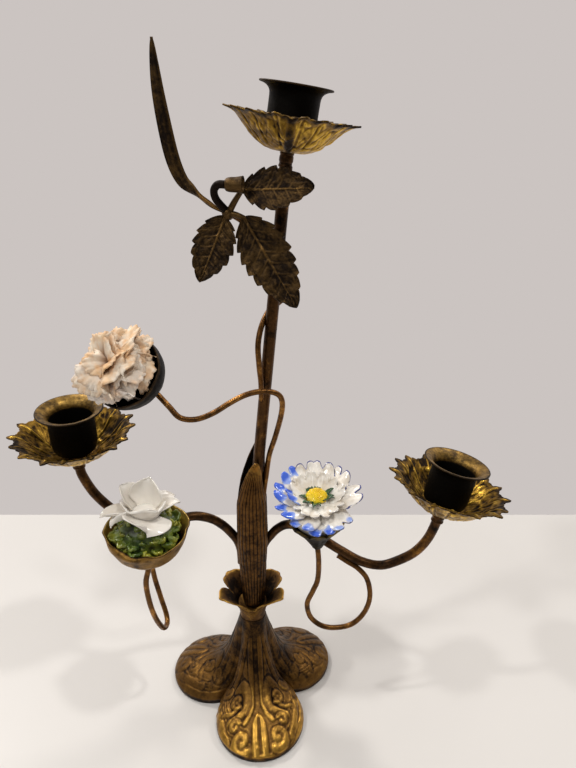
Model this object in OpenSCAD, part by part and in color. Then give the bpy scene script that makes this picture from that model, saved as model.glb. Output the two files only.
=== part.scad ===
// Tabletop candelabra with three candle nozzles, porcelain flowers and a leaf sprig.
// Origin: the foot of the stem's axis on the table, +Z up, -Y towards the viewer.

/* [Base] */
// Reach of each of the three lobes from the stem's axis
lobe_reach = 56.5; // [45:0.5:75]
// Half width of a lobe at its broadest
lobe_half_w = 25.5; // [20:0.5:34]
// Height of the base's neck, where the collar sits
base_h = 61; // [45:1:80]
// Outer radius of the neck
neck_r = 8; // [6.5:0.5:12]
// Wall of the hollow base
base_wall = 2.2; // [1.5:0.1:3.5]
// Height of the lobes' upright edge
base_edge_h = 3; // [1.5:0.5:6]
// Turn of the front lobe from the viewer's side
base_turn = 9; // [-30:1:30]

/* [Stem] */
// Diameter of the stem
stem_d = 6.4; // [5:0.1:9]
// Length of the leaning part of the stem, from its bend to the top seat
stem_len = 218.6; // [150:0.1:280]
// Lean of the upper stem towards the right
stem_lean_right = 5.7; // [0:0.1:12]
// Lean of the upper stem away from the viewer
stem_lean_back = 2.6; // [0:0.1:8]
// Diameter of the arms
arm_d = 5.2; // [4:0.1:6.4]
// Reach of the left arm's seat from the stem's axis
left_reach = 90.5; // [70:0.5:115]
// Reach of the right arm's seat from the stem's axis
right_reach = 103; // [80:0.5:130]
// Diameter of the thin flower wires
wire_d = 3; // [2:0.1:3.6]

/* [Candle nozzles] */
// Bore of the nozzles, for a dinner candle
candle_d = 22; // [18:0.5:26]
// Sheet thickness of the nozzles
nozzle_wall = 0.8; // [0.6:0.1:1.5]
// Height of a nozzle
nozzle_h = 24; // [20:0.5:36]
// How far the nozzle's lip stands out from its body
lip_out = 5.4; // [3:0.1:9]
// Diameter of the screw that holds a nozzle
screw_d = 3; // [2.5:0.1:5]

/* [Drip pans] */
// Radius of a drip pan at the tips of its leafy rim
pan_r = 33; // [27:0.5:42]
// Depth of a drip pan
pan_depth = 16.5; // [12:0.5:24]
// Sheet thickness of a drip pan
pan_t = 0.8; // [0.6:0.1:1.5]
// Number of points round the rim
pan_points = 16; // [8:1:24]

/* [Flowers and leaves] */
// Radius of the carnation's bowl
bowl_r = 18.5; // [15:0.5:24]
// Radius of the magnolia's cup
cup_r = 22.5; // [18:0.5:28]
// Radius of the daisy over its petals
daisy_r = 24; // [18:0.5:30]
// Thickness of the stamped sheet leaves
leaf_t = 0.9; // [0.6:0.1:1.5]

/* [Hidden] */
$fn = 64;

brass = "#7a5a2a";
gilt = "#a8802f";
patina = "#3a2a18";
porcelain = "#efe9de";
cream = "#e6cfb4";
moss = "#5b6a2c";

// Clearances: between pieces that turn, between a screw and its thread, round the stem
turn_gap = 0.2;
thread_gap = 0.08;
stem_gap = 0.1;

stem_r = stem_d / 2;
arm_r = arm_d / 2;
wire_r = wire_d / 2;
screw_r = screw_d / 2;

// The stem is upright inside the sheath, then leans; heights are above the neck
bend = [0, 0, 53];
lean_dir = unit([tan(stem_lean_right), tan(stem_lean_back), 1]);
function stem_at(z) = bend + lean_dir * (max(0, z - bend[2]) / lean_dir[2]);

// Holders: seat of the drip pan, lean away from the viewer, lean to the right
holder_top = [bend + lean_dir * stem_len, 0, 8.7];
holder_left = [[-left_reach, -11.5, 119], 3, 0];
holder_right = [[right_reach, -25, 94], -4, 13];

// Stack of one holder, above its seat
ferrule_r = screw_r + 1.9;
ferrule_h = 7;
thread_depth = 5;
hub_r = 7;
spacer_z = pan_t + turn_gap;
spacer_h = 3.4;
spacer_r = 5.5;
nozzle_z = spacer_z + spacer_h + turn_gap;
candle_r = candle_d / 2;
nozzle_r = candle_r + nozzle_wall;
nozzle_floor = 1.5;
foot_h = 6;
lip_h = 4.5;

// Neck: the boss under it takes the stem's thread, washer and nut
boss_h = 13;
foot_washer_t = 1.2;
nut_h = 4.5;
thread_end = 3;

// Collar
collar_floor = 9;
collar_h = 24;
collar_r = 22.5;
side_notch_w = 17;
front_notch_w = 42;

// Routes of arms and wires, chosen by hand, above the neck; each starts soldered to the stem
arm_root = stem_r + arm_r;
wire_root = stem_r + wire_r;
arm_left_route = [
    [-arm_root, 0, 39], [-arm_root - 0.3, 0, 48],
    [-8, 0, 55], [-11.5, -0.5, 61], [-16, -2, 67.5], [-22, -5, 74], [-30, -8, 78], [-38, -10, 77.5], [-47, -12, 74], [-57, -13, 73.5], [-68, -13, 79],
    [-77, -13, 88], [-84, -13, 97], [-88.8, -12.5, 107]
];
arm_right_route = [
    [arm_root, 0, 39], [arm_root + 0.4, 0, 47], [8.4, 0, 53.5], [12, 0, 59], [16, -2, 65], [21, -5, 70],
    [27, -8, 71.5], [35, -11, 69.5], [43, -14, 65.5], [52, -17, 61], [63, -20, 56], [74, -21.5, 54.5],
    [84, -22.5, 59], [92, -24, 66], [98, -25, 76]
];
carnation_route = [
    stem_at(78) + [wire_root, 0, 0],
    stem_at(89) + [wire_root, 0, 0],
    stem_at(98) + [wire_root + 0.4, 0.4, 0],
    [11.6, 2, 112], [15.2, 0, 125], [18.6, -4, 141],
    [18.6, -6, 150], [14.8, -8, 154.5], [7.5, -9, 155.5], [0, -10, 154], [-7.9, -11.9, 150.4],
    [-16.6, -14.6, 145.8], [-25.2, -16.9, 143.5], [-32.7, -18.9, 145.5], [-38.1, -17, 150.7], [-43.5, -14.5, 155.8]
];
magnolia_route = [
    [-50.5, -38, 72], [-52, -38, 65], [-54, -38, 56], [-53.5, -37, 42], [-52, -34, 28],
    [-50, -28, 15], [-49, -22, 12], [-50, -17.5, 15], [-53, -14.5, 25], [-56, -13, 40], [-57, -13, 56],
    [-57, -13, 72]
];
daisy_route = [
    [38, -25, 71], [39, -25, 59], [38.6, -24, 46], [36, -24, 38], [33, -24, 29], [35, -23, 18.5],
    [41, -23, 12], [49, -23, 10], [59, -22, 11.5], [66, -22, 20], [69, -22, 32], [67, -21, 44],
    [61.5, -20.5, 51.5], [56, -19.5, 55], [50, -17.5, 58.2]
];
// Sprig: points are measured from the place on the stem where its tendril is soldered
sprig_drop = 125;
sprig_root = holder_top[0] - lean_dir * sprig_drop;
tendril_route = [
    [-1.5, 0.4 - stem_r, 0], [-1.5, -stem_r - 1.4, 11], [-2.3, -stem_r - 1.8, 21],
    [-2.7, -stem_r - 0.8, 31.5], [-1, 0, 40], [2.5, stem_r + 3.8, 46], [7, stem_r + 6.3, 49.5],
    [11, stem_r + 3.8, 54], [12.5, 0, 61], [11, -5.5, 70], [3, -8.5, 83.5], [-7.5, -9.5, 94],
    [-14, -9, 98]
];
sprig_centre = [-15, -9, 98];
leaf_right_foot = sprig_centre + [7, -2, 11];
leaf_left_foot = sprig_centre + [-1.5, -1, -1.5];
leaf_large_foot = sprig_centre + [7.5, -3, -1.5];
blade_route = [
    [-16, -9, 98], [-22, -10, 101.5], [-27.5, -11, 105.5], [-32, -11, 109.5], [-35, -11, 113],
    [-37.5, -11, 118.5], [-39.5, -11, 126], [-41.5, -11, 138], [-43, -11, 150], [-43.7, -11, 160.5],
    [-44, -11, 170]
];
bud_end = [-15.5, -15, 111.5];
bud_route = [[-16, -9.5, 99.5], [-20, -11, 104.5], [-20.8, -12.3, 108.5], [-18.8, -14, 111.3], bud_end];

// ---- shared functions and modules ----

function unit(v) = v / norm(v);
function step_dir(p, i) = unit(p[min(i + 1, len(p) - 1)] - p[max(i - 1, 0)]);
function last(p) = p[len(p) - 1];
// Direction of +Z after turns about X and then Y
function turned_up(turn) = [cos(turn[0]) * sin(turn[1]), -sin(turn[0]), cos(turn[0]) * cos(turn[1])];

// A point of the smooth curve through p, past point i by share t
function curve_point(p, i, t) =
    let(
        n = len(p) - 1,
        a = p[max(i - 1, 0)],
        b = p[i],
        c = p[min(i + 1, n)],
        d = p[min(i + 2, n)]
    )
    0.5 * (2 * b + (c - a) * t + (2 * a - 5 * b + 4 * c - d) * t * t + (3 * b - a - 3 * c + d) * t * t * t);

function smooth(p, steps) =
    concat([for (i = [0:len(p) - 2], k = [0:steps - 1]) curve_point(p, i, k / steps)], [last(p)]);

// An oval ring of n points round c, across dir, with its first radius square to ref
function ring(c, dir, ref, ra, rb, n) =
    let(side = unit(cross(dir, ref)), up = cross(side, dir))
    [for (k = [0:n - 1]) c + side * ra * cos(360 * k / n) + up * rb * sin(360 * k / n)];

// Closed skin over rings of equal length; thin rings are capped by strips
module loft(rings, thin = false) {
    n = len(rings[0]);
    m = len(rings);
    half = n / 2;
    sides = [
        for (i = [0:m - 2], k = [0:n - 1])
            let(a = i * n + k, b = i * n + (k + 1) % n)
            each [[a, b, b + n], [a, b + n, a + n]]
    ];
    strip = [for (j = [0:half - 2]) each [[j, j + 1, n - 2 - j], [j, n - 2 - j, n - 1 - j]]];
    start = thin ? [for (f = strip) [f[2], f[1], f[0]]] : [[for (k = [0:n - 1]) n - 1 - k]];
    end = thin ? [for (f = strip) f + [1, 1, 1] * (m - 1) * n] : [[for (k = [0:n - 1]) (m - 1) * n + k]];
    polyhedron(points = [for (r = rings) each r], faces = concat(start, sides, end), convexity = 8);
}

// Round rod swept along a route
module rod(route, r, ref, steps = 2, n = 10) {
    p = smooth(route, steps);
    loft([for (i = [0:len(p) - 1]) ring(p[i], step_dir(p, i), ref, r, r, n)]);
}

// Surface like a solid of revolution whose rings are given by a list of [radius, height]
// and a share of waviness in each ring
module wavy_solid(profile, waves, n = 48) {
    loft([for (q = profile) [for (k = [0:n - 1])
        let(a = 360 * k / n, r = q[0] * (1 + q[2] * sin(waves * a)))
        [r * cos(a), r * sin(a), q[1]]]]);
}

module above_neck() {
    translate([0, 0, base_h]) children();
}

module at_sprig() {
    above_neck() translate(sprig_root) children();
}

module at_holder(h) {
    above_neck() translate(h[0]) rotate([h[1], h[2], 0]) children();
}

// ---- base ----

// Outline of the three lobes: each lobe is a circle set off from the axis
lobe_shift = lobe_reach - lobe_half_w * 1.06;
function lobe_edge(a) =
    let(rho = lobe_reach - lobe_shift, off = ((a + 60) % 120) - 60)
    lobe_shift * cos(off) + sqrt(rho * rho - pow(lobe_shift * sin(off), 2));

// Height of the outer surface at share u of the way from the neck to the edge
function base_top(u) = base_edge_h + (base_h - base_edge_h) * (0.8 * pow(1 - u, 4.5) + 0.2 * (1 - pow(u, 4)));
function base_outer(a, u) = [neck_r + (lobe_edge(a) - neck_r) * u, base_top(u)];
function base_inner(a, u) =
    let(
        p = base_outer(a, u),
        slope = base_outer(a, min(1, u + 0.01)) - base_outer(a, max(0, u - 0.01)),
        out = unit([-slope[1], slope[0]]),
        q = p - out * base_wall
    )
    [max(q[0], stem_r + 1), min(q[1], base_h - boss_h)];

base_shares = [0, 0.03, 0.07, 0.12, 0.18, 0.25, 0.34, 0.45, 0.58, 0.72, 0.84, 0.93, 1];
base_angles = [for (k = [0:71]) k * 5];
function base_ring(pairs) = [for (k = [0:len(pairs) - 1])
    [pairs[k][0] * cos(base_angles[k]), pairs[k][0] * sin(base_angles[k]), pairs[k][1]]];

module base_foot() {
    outer = [for (u = base_shares) base_ring([for (a = base_angles) base_outer(a, u)])];
    rim = [
        base_ring([for (a = base_angles) [lobe_edge(a), 0]]),
        base_ring([for (a = base_angles) [lobe_edge(a) - base_wall, 0]])
    ];
    inner = [for (i = [len(base_shares) - 2:-1:0])
        base_ring([for (a = base_angles) base_inner(a, base_shares[i])])];
    color(brass)
    rotate([0, 0, -90 + base_turn])
    difference() {
        loft(concat(outer, rim, inner));
        cylinder(r = stem_r + stem_gap, h = 3 * base_h, center = true);
    }
}

module base_washer() {
    color(brass)
    translate([0, 0, base_h - boss_h - foot_washer_t])
    difference() {
        cylinder(r = stem_r + 2.2, h = foot_washer_t);
        translate([0, 0, -1]) cylinder(r = stem_r + stem_gap, h = foot_washer_t + 2);
    }
}

module base_nut() {
    color(patina)
    translate([0, 0, base_h - boss_h - foot_washer_t - nut_h])
    difference() {
        cylinder(r = stem_r + 2.4, h = nut_h, $fn = 6);
        translate([0, 0, -1]) cylinder(r = stem_r + stem_gap, h = nut_h + 2);
    }
}

// ---- collar, stem and sheath ----

// V cut between two petals, along +X, as wide as w at the collar's edge
module collar_notch(w) {
    edge = collar_r + 3;
    linear_extrude(height = 3 * collar_h, center = true)
    polygon([[neck_r + 2, 0], [edge, w / 2], [edge, -w / 2]]);
}

// Calyx of four curling petals, two to each side, with a floor that the sheath stands on
module collar() {
    hole_r = stem_r + stem_gap;
    color(brass)
    above_neck()
    difference() {
        rotate_extrude()
        polygon([
            [hole_r, 0], [neck_r, 0], [neck_r + 1, 7], [11, 12], [14.5, 17.5], [18, 21.3], [collar_r, 23],
            [collar_r - 0.3, collar_h], [17.4, 22.4], [13.6, 18.6], [10, 13], [neck_r - 0.2, collar_floor],
            [hole_r, collar_floor]
        ]);
        for (a = [0, 180]) {
            rotate([0, 0, a]) collar_notch(side_notch_w);
            rotate([0, 0, a + 90]) collar_notch(front_notch_w);
        }
    }
}

// Rod with a threaded foot, a swelling at the bend and a leaning upper length
module stem() {
    bend_r = stem_r + 0.4;
    bottom = -boss_h - foot_washer_t - nut_h - thread_end;
    color(brass)
    above_neck()
    union() {
        translate([0, 0, bottom]) cylinder(r = stem_r, h = bend[2] - bottom);
        translate(bend) sphere(r = bend_r);
        translate(bend)
        rotate([0, acos(lean_dir[2]), atan2(lean_dir[1], lean_dir[0])])
        cylinder(r = stem_r, h = stem_len - ferrule_h + 0.5);
    }
}

// The sheath's axis stays near the upright stem, then bends over to meet the leaning one
function sheath_axis(z) =
    let(s = stem_at(z))
    [min(1.1 + 0.0036 * pow(max(0, z - 79), 2), max(1.1, s[0])), s[1], z];
function sheath_r(z) = lookup(z, [
    [9, neck_r - 1], [23, 7.9], [38, 8.7], [57, 9.9], [82, 9.3], [97, 7.6], [110, 6.2], [123, 4.9]
]);
sheath_t = 0.9;

// One clasping leaf: a bowed strip round the axis that narrows to a tip at height top
module clasp_leaf(facing, top) {
    bottom = collar_floor;
    rows = 20;
    cols = 12;
    function half_angle(z) = 66 * min(1, sqrt(max(0.004, (top - z) / 26)));
    function row(z, r) = [for (j = [0:cols])
        let(a = facing + half_angle(z) * (2 * j / cols - 1))
        sheath_axis(z) + [r * cos(a), r * sin(a), 0]];
    function reverse(p) = [for (i = [len(p) - 1:-1:0]) p[i]];
    color(gilt)
    above_neck()
    loft([for (i = [rows:-1:0])
        let(z = bottom + (top - bottom) * i / rows)
        concat(row(z, sheath_r(z)), reverse(row(z, sheath_r(z) - sheath_t)))
    ], thin = true);
}

module sheath_front() {
    clasp_leaf(-90, 110);
}

module sheath_back() {
    clasp_leaf(90, 123);
}

// ---- arms and holders ----

function arm_end(h) = h[0] - turned_up([h[1], h[2]]) * (ferrule_h - 0.5);
function stretched(route, reach, nominal) = [for (p = route) [p[0] * reach / nominal, p[1], p[2]]];

module arm_left() {
    nominal_reach = 90.5;
    root = [for (i = [0:2]) arm_left_route[i]];
    free = [for (i = [3:len(arm_left_route) - 1]) arm_left_route[i]];
    color(patina)
    above_neck()
    rod(concat(root, stretched(free, left_reach, nominal_reach), [arm_end(holder_left)]), arm_r, [0, 1, 0]);
}

module arm_right() {
    nominal_reach = 103;
    root = [for (i = [0:2]) arm_right_route[i]];
    free = [for (i = [3:len(arm_right_route) - 1]) arm_right_route[i]];
    color(patina)
    above_neck()
    rod(concat(root, stretched(free, right_reach, nominal_reach), [arm_end(holder_right)]), arm_r, [0, 1, 0]);
}

// Small turned end piece, tapped for the nozzle's screw
module ferrule(h) {
    color(brass)
    at_holder(h)
    translate([0, 0, -ferrule_h])
    difference() {
        cylinder(r = ferrule_r, h = ferrule_h - turn_gap);
        translate([0, 0, ferrule_h - thread_depth - 1])
        cylinder(r = screw_r + thread_gap, h = thread_depth + 2);
    }
}

module ferrule_top() {
    ferrule(holder_top);
}

module ferrule_left() {
    ferrule(holder_left);
}

module ferrule_right() {
    ferrule(holder_right);
}

// Stamped dish with a pointed leafy rim
module pan(h) {
    k = pan_depth / 16.5;
    w = pan_r / 33;
    lower = [
        [hub_r, 0], [11 * w, 1.4 * k], [15 * w, 3.5 * k], [19 * w, 6.5 * k], [22.5 * w, 9.9 * k],
        [25.5 * w, 13 * k], [29 * w, 15.2 * k], [pan_r, 16.5 * k]
    ];
    upper = [for (i = [len(lower) - 1:-1:0]) lower[i] + [-0.5 * pan_t, pan_t]];
    notch = 180 / pan_points;
    color(gilt)
    at_holder(h)
    difference() {
        rotate_extrude()
        polygon(concat([[screw_r + 0.4, 0]], lower, upper, [[screw_r + 0.4, pan_t]]));
        for (i = [0:pan_points - 1])
            rotate([0, 0, (2 * i + 1) * notch])
            linear_extrude(height = 3 * pan_depth)
            polygon([
                [pan_r * 0.85, 0], [pan_r * 1.1 * cos(notch), pan_r * 1.1 * sin(notch)],
                [pan_r * 1.1 * cos(notch), -pan_r * 1.1 * sin(notch)]
            ]);
    }
}

module pan_top() {
    pan(holder_top);
}

module pan_left() {
    pan(holder_left);
}

module pan_right() {
    pan(holder_right);
}

// Captive collar between drip pan and nozzle
module spacer(h) {
    color(brass)
    at_holder(h)
    translate([0, 0, spacer_z])
    difference() {
        cylinder(r = spacer_r, h = spacer_h);
        translate([0, 0, -1]) cylinder(r = screw_r + 0.3, h = spacer_h + 2);
    }
}

module spacer_top() {
    spacer(holder_top);
}

module spacer_left() {
    spacer(holder_left);
}

module spacer_right() {
    spacer(holder_right);
}

// Spun candle nozzle: tapered foot, straight bore and a flaring lip
module nozzle(h) {
    r = nozzle_r;
    lip_z = nozzle_h - lip_h;
    color(patina)
    at_holder(h)
    translate([0, 0, nozzle_z])
    difference() {
        rotate_extrude()
        polygon([
            [0, 0], [r - 1.6, 0], [r - 0.5, 1.2], [r, foot_h], [r, lip_z], [r + lip_out * 0.16, lip_z + 1.6],
            [r + lip_out * 0.5, lip_z + 3], [r + lip_out, lip_z + 3.9], [r + lip_out, nozzle_h],
            [r + lip_out * 0.4, nozzle_h - 0.5], [candle_r + 0.5, lip_z + 1.8], [candle_r, lip_z + 0.4],
            [0, lip_z + 0.4]
        ]);
        translate([0, 0, foot_h]) cylinder(r = candle_r, h = nozzle_h);
        translate([0, 0, nozzle_floor])
        cylinder(r1 = candle_r - 1.4, r2 = candle_r, h = foot_h - nozzle_floor);
        translate([0, 0, -1]) cylinder(r = screw_r, h = nozzle_floor + 2);
    }
}

module nozzle_top() {
    nozzle(holder_top);
}

module nozzle_left() {
    nozzle(holder_left);
}

module nozzle_right() {
    nozzle(holder_right);
}

// Screw riveted into the nozzle's floor, with its head inside the cup
module screw(h) {
    head_h = 1.6;
    color(brass)
    at_holder(h)
    union() {
        translate([0, 0, 0.5 - thread_depth])
        cylinder(r = screw_r, h = thread_depth - 0.5 + nozzle_z + nozzle_floor);
        translate([0, 0, nozzle_z + nozzle_floor])
        cylinder(r1 = screw_r + 2, r2 = screw_r + 1, h = head_h);
    }
}

module screw_top() {
    screw(holder_top);
}

module screw_left() {
    screw(holder_left);
}

module screw_right() {
    screw(holder_right);
}

// ---- carnation ----

carnation_seat = [-55.9, -23.9, 172.5];
carnation_turn = [45, -28, 0];
bowl_t = 0.9;

module at_carnation() {
    above_neck() translate(carnation_seat) rotate(carnation_turn) children();
}

module carnation_wire() {
    pole = carnation_seat - turned_up(carnation_turn) * (bowl_r - 0.4);
    color(brass) above_neck() rod(concat(carnation_route, [pole]), wire_r, [0, 1, 0.3]);
}

module carnation_bowl() {
    color(gilt)
    at_carnation()
    rotate_extrude()
    difference() {
        circle(r = bowl_r);
        circle(r = bowl_r - bowl_t);
        translate([-50, -50]) square([50, 100]);
        translate([0, 1]) square([50, 50]);
    }
}

// Ruffled ball of petals on a short foot that stands in the bowl
module carnation_bloom() {
    foot_r = 4;
    inner_r = bowl_r - bowl_t;
    color(cream)
    at_carnation()
    wavy_solid([
        [2, 24, 0.2], [8, 22.5, 0.16], [13.5, 18, 0.12], [17.5, 12, 0.1], [18.5, 6, 0.08],
        [inner_r - 1.6, 1, 0.03], [inner_r - 3, -5, 0.02], [inner_r - 7, -10, 0.02], [foot_r, -13, 0],
        [foot_r, -sqrt(inner_r * inner_r - foot_r * foot_r), 0]
    ], 9);
}

// ---- magnolia ----

magnolia_seat = [-50.5, -38, 72];
cup_h = 22;
cup_t = 0.9;
cup_floor_r = 6;

module at_magnolia() {
    above_neck() translate(magnolia_seat) children();
}

module magnolia_wire() {
    color(brass) above_neck() rod(magnolia_route, wire_r, [1, 0, 0]);
}

module magnolia_cup() {
    k = cup_r / 22.5;
    outer = [[cup_floor_r, 0], [12 * k, 3], [17 * k, 8], [20 * k, 14], [cup_r, cup_h]];
    inner = [for (i = [len(outer) - 1:-1:0]) outer[i] + [-cup_t * (i > 0 ? 1 : 0), cup_t * (i < 4 ? 1 : 0)]];
    color(gilt)
    at_magnolia()
    rotate_extrude()
    polygon(concat([[0, 0]], outer, inner, [[0, cup_t]]));
}

module magnolia_leaves() {
    k = cup_r / 22.5;
    color(moss)
    at_magnolia()
    wavy_solid([
        [9 * k, 29, 0.04], [14 * k, 28, 0.06], [18 * k, 25.5, 0.06], [18.8 * k, 22, 0.03],
        [18 * k, 14.5, 0], [15 * k, 9, 0], [10 * k, 4.5, 0], [cup_floor_r - 1.5, 2.5, 0],
        [cup_floor_r - 1.5, cup_t, 0]
    ], 8);
}

module magnolia_bloom() {
    color(porcelain)
    at_magnolia()
    wavy_solid([
        [1, 53, 0], [4, 49, 0.1], [7, 44, 0.15], [9, 41, 0.2], [14.5, 41.5, 0.16], [14.5, 38.5, 0.16],
        [11, 34, 0.1], [6, 29, 0]
    ], 5);
}

// ---- daisy ----

daisy_seat = [38, -25, 70];
daisy_turn = [6, -2, 0];
daisy_cup_h = 21;

module at_daisy() {
    above_neck() translate(daisy_seat) rotate(daisy_turn) children();
}

module daisy_wire() {
    color(brass) above_neck() rod(daisy_route, wire_r, [0, 1, 0]);
}

module daisy_cup() {
    color(patina)
    at_daisy()
    rotate_extrude()
    polygon([
        [0, 0], [2.6, 0], [4.5, 4], [8.5, 11], [13.5, 18], [15, daisy_cup_h], [14, daisy_cup_h], [12.5, 18.4],
        [7.6, 11.5], [3.6, 5], [0, 5]
    ]);
}

module daisy_petals() {
    color("#e8edf6")
    at_daisy()
    wavy_solid([
        [7, 33, 0], [daisy_r * 0.6, 34.5, 0.04], [daisy_r * 0.93, 35, 0.06], [daisy_r * 0.93, 33.5, 0.06],
        [daisy_r * 0.7, 28, 0.04], [13.5, 22, 0], [11.8, 18.6, 0], [6.9, 11.7, 0], [3.2, 5.4, 0], [3.2, 5, 0]
    ], 11, 66);
}

module daisy_centre() {
    centre_r = 5.6;
    color("gold")
    at_daisy()
    translate([0, 0, 33])
    intersection() {
        translate([0, 0, -2]) sphere(r = centre_r + 0.6);
        cylinder(r = centre_r, h = 10);
    }
}

// ---- leaf sprig ----

module sprig_tendril() {
    color(brass) at_sprig() rod(tendril_route, wire_r, [0.2, 1, 0.1], 3);
}

// Knot where the tendril, the blade and the leaves' stalks are soldered together
module sprig_knot() {
    knot_r = 2.8;
    stalk_r = 1.2;
    color(patina)
    at_sprig()
    union() {
        translate(sprig_centre) sphere(r = knot_r, $fn = 24);
        for (foot = [leaf_right_foot, leaf_left_foot, leaf_large_foot]) {
            middle = (sprig_centre + foot) / 2 + [0, -0.5, 0.5];
            rod([sprig_centre, middle, foot + [0, 0.3, 0]], stalk_r, [0, 1, 0]);
        }
    }
}

// Serrated leaf from its base to its tip, broad side towards the viewer
module sheet_leaf(foot, tip, half_w, teeth) {
    along = tip - foot;
    facing = unit([0, -0.9, 0.45]);
    across = unit(cross(along, facing));
    back = unit(cross(across, along));
    rows = teeth * 2;
    cols = 4;
    function width(u, i) = max(0.5, half_w * (i % 2 == 0 ? 1 : 0.86) * pow(sin(180 * pow(u, 0.8)), 0.7));
    function lift(u, s) = 1.5 * s * s - 2 * u * (1 - u);
    function point(u, i, s) = foot + along * u + across * s * width(u, i) + facing * lift(u, s);
    function row(u, i, depth) = [for (j = [0:cols]) point(u, i, 2 * j / cols - 1) + back * depth];
    function reverse(p) = [for (i = [len(p) - 1:-1:0]) p[i]];
    loft([for (i = [0:rows])
        let(u = 0.01 + 0.98 * i / rows)
        concat(row(u, i, 0), reverse(row(u, i, leaf_t)))
    ], thin = true);
}

module leaf_right() {
    color(patina) at_sprig() sheet_leaf(leaf_right_foot, sprig_centre + [39.5, -10, 12.5], 10.5, 9);
}

module leaf_left() {
    color(patina) at_sprig() sheet_leaf(leaf_left_foot, sprig_centre + [-14, -8, -30.5], 10.5, 10);
}

module leaf_large() {
    color(patina) at_sprig() sheet_leaf(leaf_large_foot, sprig_centre + [32, -13, -41.5], 12.5, 13);
}

// Long lance leaf that springs up from the sprig
module blade_leaf() {
    p = smooth(blade_route, 4);
    m = len(p) - 1;
    function half_w(i) = max(0.6, 3.2 * pow(sin(180 * pow(min(0.98, i / m), 1.3)), 0.6));
    color(patina)
    at_sprig()
    loft([for (i = [0:m]) ring(p[i], step_dir(p, i), [0, 1, 0], half_w(i), leaf_t / 2 + 0.2, 8)]);
}

module bud_wire() {
    color(patina) at_sprig() rod(bud_route, wire_r * 0.9, [0, 1, 0], 3);
}

// Empty cup of a lost flower
module bud_cup() {
    cup_len = 8.5;
    color(brass)
    at_sprig()
    translate(bud_end)
    rotate([0, 90, -8])
    difference() {
        cylinder(r1 = 2.2, r2 = 3.3, h = cup_len);
        translate([0, 0, 2.5]) cylinder(r = 2, h = cup_len);
    }
}

base_foot();
base_washer();
base_nut();
collar();
stem();
sheath_front();
sheath_back();
arm_left();
arm_right();
ferrule_top();
ferrule_left();
ferrule_right();
pan_top();
pan_left();
pan_right();
spacer_top();
spacer_left();
spacer_right();
nozzle_top();
nozzle_left();
nozzle_right();
screw_top();
screw_left();
screw_right();
carnation_wire();
carnation_bowl();
carnation_bloom();
magnolia_wire();
magnolia_cup();
magnolia_leaves();
magnolia_bloom();
daisy_wire();
daisy_cup();
daisy_petals();
daisy_centre();
sprig_tendril();
leaf_right();
leaf_left();
leaf_large();
blade_leaf();
bud_wire();
bud_cup();
sprig_knot();
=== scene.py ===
import math

import bpy
import numpy as np
from mathutils import Euler, Matrix, Vector


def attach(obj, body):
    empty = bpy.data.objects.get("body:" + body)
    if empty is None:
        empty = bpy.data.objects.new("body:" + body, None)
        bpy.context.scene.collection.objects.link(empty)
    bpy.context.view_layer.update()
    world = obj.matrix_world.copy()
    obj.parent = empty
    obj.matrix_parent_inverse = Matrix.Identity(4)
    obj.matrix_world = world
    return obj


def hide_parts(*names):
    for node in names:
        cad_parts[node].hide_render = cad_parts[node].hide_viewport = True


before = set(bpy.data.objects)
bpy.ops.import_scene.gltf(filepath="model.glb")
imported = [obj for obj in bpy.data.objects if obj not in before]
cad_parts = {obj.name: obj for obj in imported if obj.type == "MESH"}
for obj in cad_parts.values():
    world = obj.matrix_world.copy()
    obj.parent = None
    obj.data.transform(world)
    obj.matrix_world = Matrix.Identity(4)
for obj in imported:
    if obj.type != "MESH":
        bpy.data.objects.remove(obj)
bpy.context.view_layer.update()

# Brass table candelabra with porcelain flowers. Lengths in the tables below are in
# millimetres, in the CAD model's frame, and become metres as each mesh is made.
MM = 0.001

# Heights and sizes shared by several pieces
NECK_Z = 61.0
NECK_R = 8.0
STEM_R = 3.2
ARM_R = 2.6
WIRE_R = 1.5
LEAN = np.array([math.tan(math.radians(5.7)), math.tan(math.radians(2.6)), 1.0])
LEAN_DIR = LEAN / np.linalg.norm(LEAN)
BEND = np.array([0.0, 0.0, NECK_Z + 53.0])
TOP_SEAT = BEND + LEAN_DIR * 218.6
SPRIG_ROOT = TOP_SEAT - LEAN_DIR * 125.0
SPRIG = SPRIG_ROOT + np.array([-15.0, -9.0, 98.0])
FERRULE_H = 7.0

# Seat of each drip pan and its two leans, in degrees about X and Y
HOLDERS = {
    "top": (TOP_SEAT, 0.0, 8.7),
    "left": (np.array([-90.5, -11.5, 180.0]), 3.0, 0.0),
    "right": (np.array([103.0, -25.0, 155.0]), -4.0, 13.0),
}


# ---- points, grids and skins ----

def along(route, steps):
    """Smooth curve through the points of a route."""
    p = np.asarray(route, float)
    out = []
    for i in range(len(p) - 1):
        a, b = p[max(i - 1, 0)], p[i]
        c, d = p[i + 1], p[min(i + 2, len(p) - 1)]
        for k in range(steps):
            t = k / steps
            out.append(0.5 * (2 * b + (c - a) * t + (2 * a - 5 * b + 4 * c - d) * t * t
                              + (3 * b - a - 3 * c + d) * t ** 3))
    return np.array(out + [p[-1]])


def unit(v):
    return v / np.maximum(np.linalg.norm(v, axis=-1, keepdims=True), 1e-12)


def smooth_step(x, low, high):
    k = np.clip((x - low) / (high - low), 0, 1)
    return k * k * (3 - 2 * k)


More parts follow.
